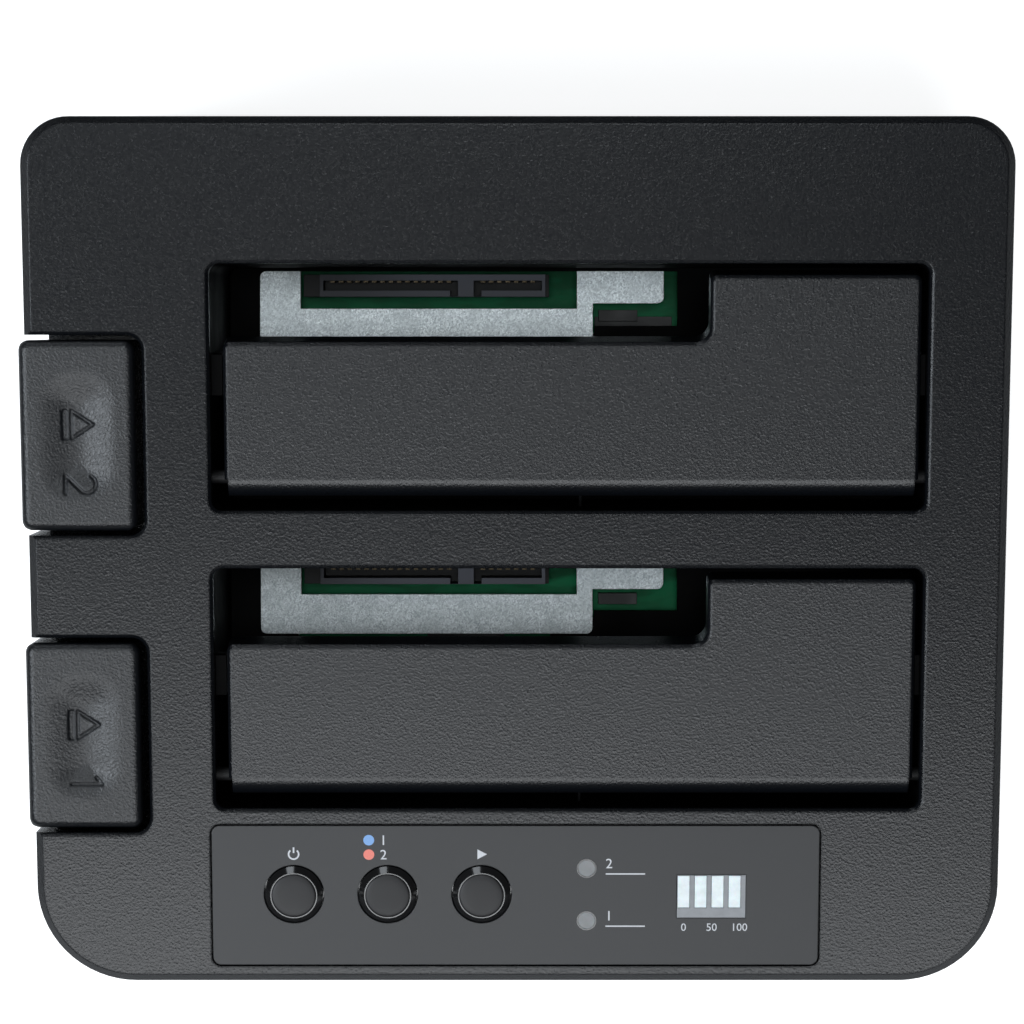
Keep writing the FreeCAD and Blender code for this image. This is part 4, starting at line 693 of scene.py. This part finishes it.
def spring_pieces(bay):
    """The winding of a flap spring stays with the bay, and its long leg swings with the flap above it."""
    name = f"flap_spring_{bay}"
    joints = {item["name"]: item for item in frame["record"]["behaviour"]["joints"]}
    hinge = Vector(joints[f"flap_{bay}_swing"]["pos_m"])
    turned = Matrix.Translation(hinge) @ Matrix.Rotation(SLOPE + LEG_ANGLE, 4, "X")
    along = turned.to_3x3() @ Vector((0, 1, 0))
    winding = bmesh.new()
    winding.from_mesh(nodes[name].data)
    everything = winding.verts[:] + winding.edges[:] + winding.faces[:]
    cut = bmesh.ops.bisect_plane(winding, geom=everything, plane_co=hinge + along * LEG_ROOT * MM,
                                 plane_no=along, clear_outer=True)
    rim = [item for item in cut["geom_cut"] if isinstance(item, bmesh.types.BMEdge)]
    bmesh.ops.holes_fill(winding, edges=rim)
    label = f"spring_winding_{bay}"
    kept = piece(label, mesh_of(label, winding), "root", "spring_steel")
    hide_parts(name)
    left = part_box(name)[0].x / MM
    leg = bmesh.new()
    add_bar(leg, left + LEG_SPARE, left + LEG_WIDTH - LEG_SPARE, 0.0, LEG_LENGTH,
            -COIL_RADIUS - LEG_WIDTH / 2 + LEG_SPARE, -COIL_RADIUS + LEG_WIDTH / 2 - LEG_SPARE)
    leg.transform(Matrix.Translation((0, hinge.y, hinge.z)) @ Matrix.Rotation(SLOPE + LEG_ANGLE, 4, "X"))
    label = f"spring_leg_{bay}"
    piece(label, mesh_of(label, leg), f"flap_{bay}", "spring_steel")


def lens_rims():
    """A thin dark ring round each status window."""
    bm = bmesh.new()
    for y in LENS_Y:
        add_arc(bm, LENS_X, y, LENS_RADIUS, LENS_RADIUS + RING_WIDTH, 0, 360, RING_HEIGHT, ROUND_STEPS)
    on_panel("lens_rims", bm, "key_black")


# Floor, lights and camera.
def floor():
    bm = bmesh.new()
    bmesh.ops.create_grid(bm, x_segments=1, y_segments=1, size=FLOOR_HALF)
    mesh = bpy.data.meshes.new("floor")
    bm.to_mesh(mesh)
    bm.free()
    item = bpy.data.objects.new("floor", mesh)
    bpy.context.scene.collection.objects.link(item)
    material = bpy.data.materials.new("floor_white")
    material.use_nodes = True
    tree = material.node_tree
    tree.nodes.remove(tree.nodes["Principled BSDF"])
    output = tree.nodes["Material Output"]
    diffuse = tree.nodes.new("ShaderNodeBsdfDiffuse")
    diffuse.inputs["Color"].default_value = (*FLOOR_COLOUR, 1)
    glow = tree.nodes.new("ShaderNodeEmission")
    glow.inputs["Color"].default_value = (1, 1, 1, 1)
    glow.inputs["Strength"].default_value = FLOOR_GLOW
    dark = tree.nodes.new("ShaderNodeEmission")
    dark.inputs["Strength"].default_value = 0.0
    path = tree.nodes.new("ShaderNodeLightPath")
    pick = tree.nodes.new("ShaderNodeMixShader")
    total = tree.nodes.new("ShaderNodeAddShader")
    tree.links.new(path.outputs["Is Camera Ray"], pick.inputs[0])
    tree.links.new(dark.outputs[0], pick.inputs[1])
    tree.links.new(glow.outputs[0], pick.inputs[2])
    tree.links.new(diffuse.outputs[0], total.inputs[0])
    tree.links.new(pick.outputs[0], total.inputs[1])
    tree.links.new(total.outputs[0], output.inputs["Surface"])
    mesh.materials.append(material)


def world():
    """White where the camera sees it, soft grey as a light."""
    scene_world = bpy.data.worlds.new("studio")
    bpy.context.scene.world = scene_world
    scene_world.use_nodes = True
    tree = scene_world.node_tree
    background = tree.nodes["Background"]
    path = tree.nodes.new("ShaderNodeLightPath")
    seen = tree.nodes.new("ShaderNodeMath")
    seen.operation = "MAXIMUM"
    strength = tree.nodes.new("ShaderNodeMapRange")
    tree.links.new(path.outputs["Is Camera Ray"], seen.inputs[0])
    tree.links.new(path.outputs["Is Transmission Ray"], seen.inputs[1])
    tree.links.new(seen.outputs[0], strength.inputs["Value"])
    strength.inputs["To Min"].default_value = WORLD_LIGHT
    strength.inputs["To Max"].default_value = 1.0
    background.inputs["Color"].default_value = (1, 1, 1, 1)
    tree.links.new(strength.outputs[0], background.inputs["Strength"])


def lamps():
    for name, place, width, height, power, colour in LAMPS:
        light = bpy.data.lights.new(name, "AREA")
        light.shape = "ELLIPSE"
        light.size = width
        light.size_y = height
        light.energy = power
        light.color = colour
        item = bpy.data.objects.new(name, light)
        bpy.context.scene.collection.objects.link(item)
        item.location = place
        item.rotation_euler = (LAMP_AIM - Vector(place)).to_track_quat("-Z", "Y").to_euler()


def camera():
    data = bpy.data.cameras.new("camera")
    data.lens = CAMERA_LENS
    data.sensor_width = 36
    data.clip_start = 0.01
    item = bpy.data.objects.new("camera", data)
    bpy.context.scene.collection.objects.link(item)
    item.location = Vector(CAMERA_PLACE) * MM
    item.rotation_euler = (math.radians(CAMERA_LEAN), 0, 0)
    bpy.context.scene.camera = item


def main():
    dress_nodes()
    panel_print()
    for number, name in enumerate(("power_button", "mode_button", "start_button")):
        key_cap(name, number)
    for bay in BAYS:
        button_skin(bay)
        spring_pieces(bay)
    lens_rims()
    floor()
    world()
    lamps()
    camera()
    bpy.context.scene.view_settings.view_transform = "Standard"


main()
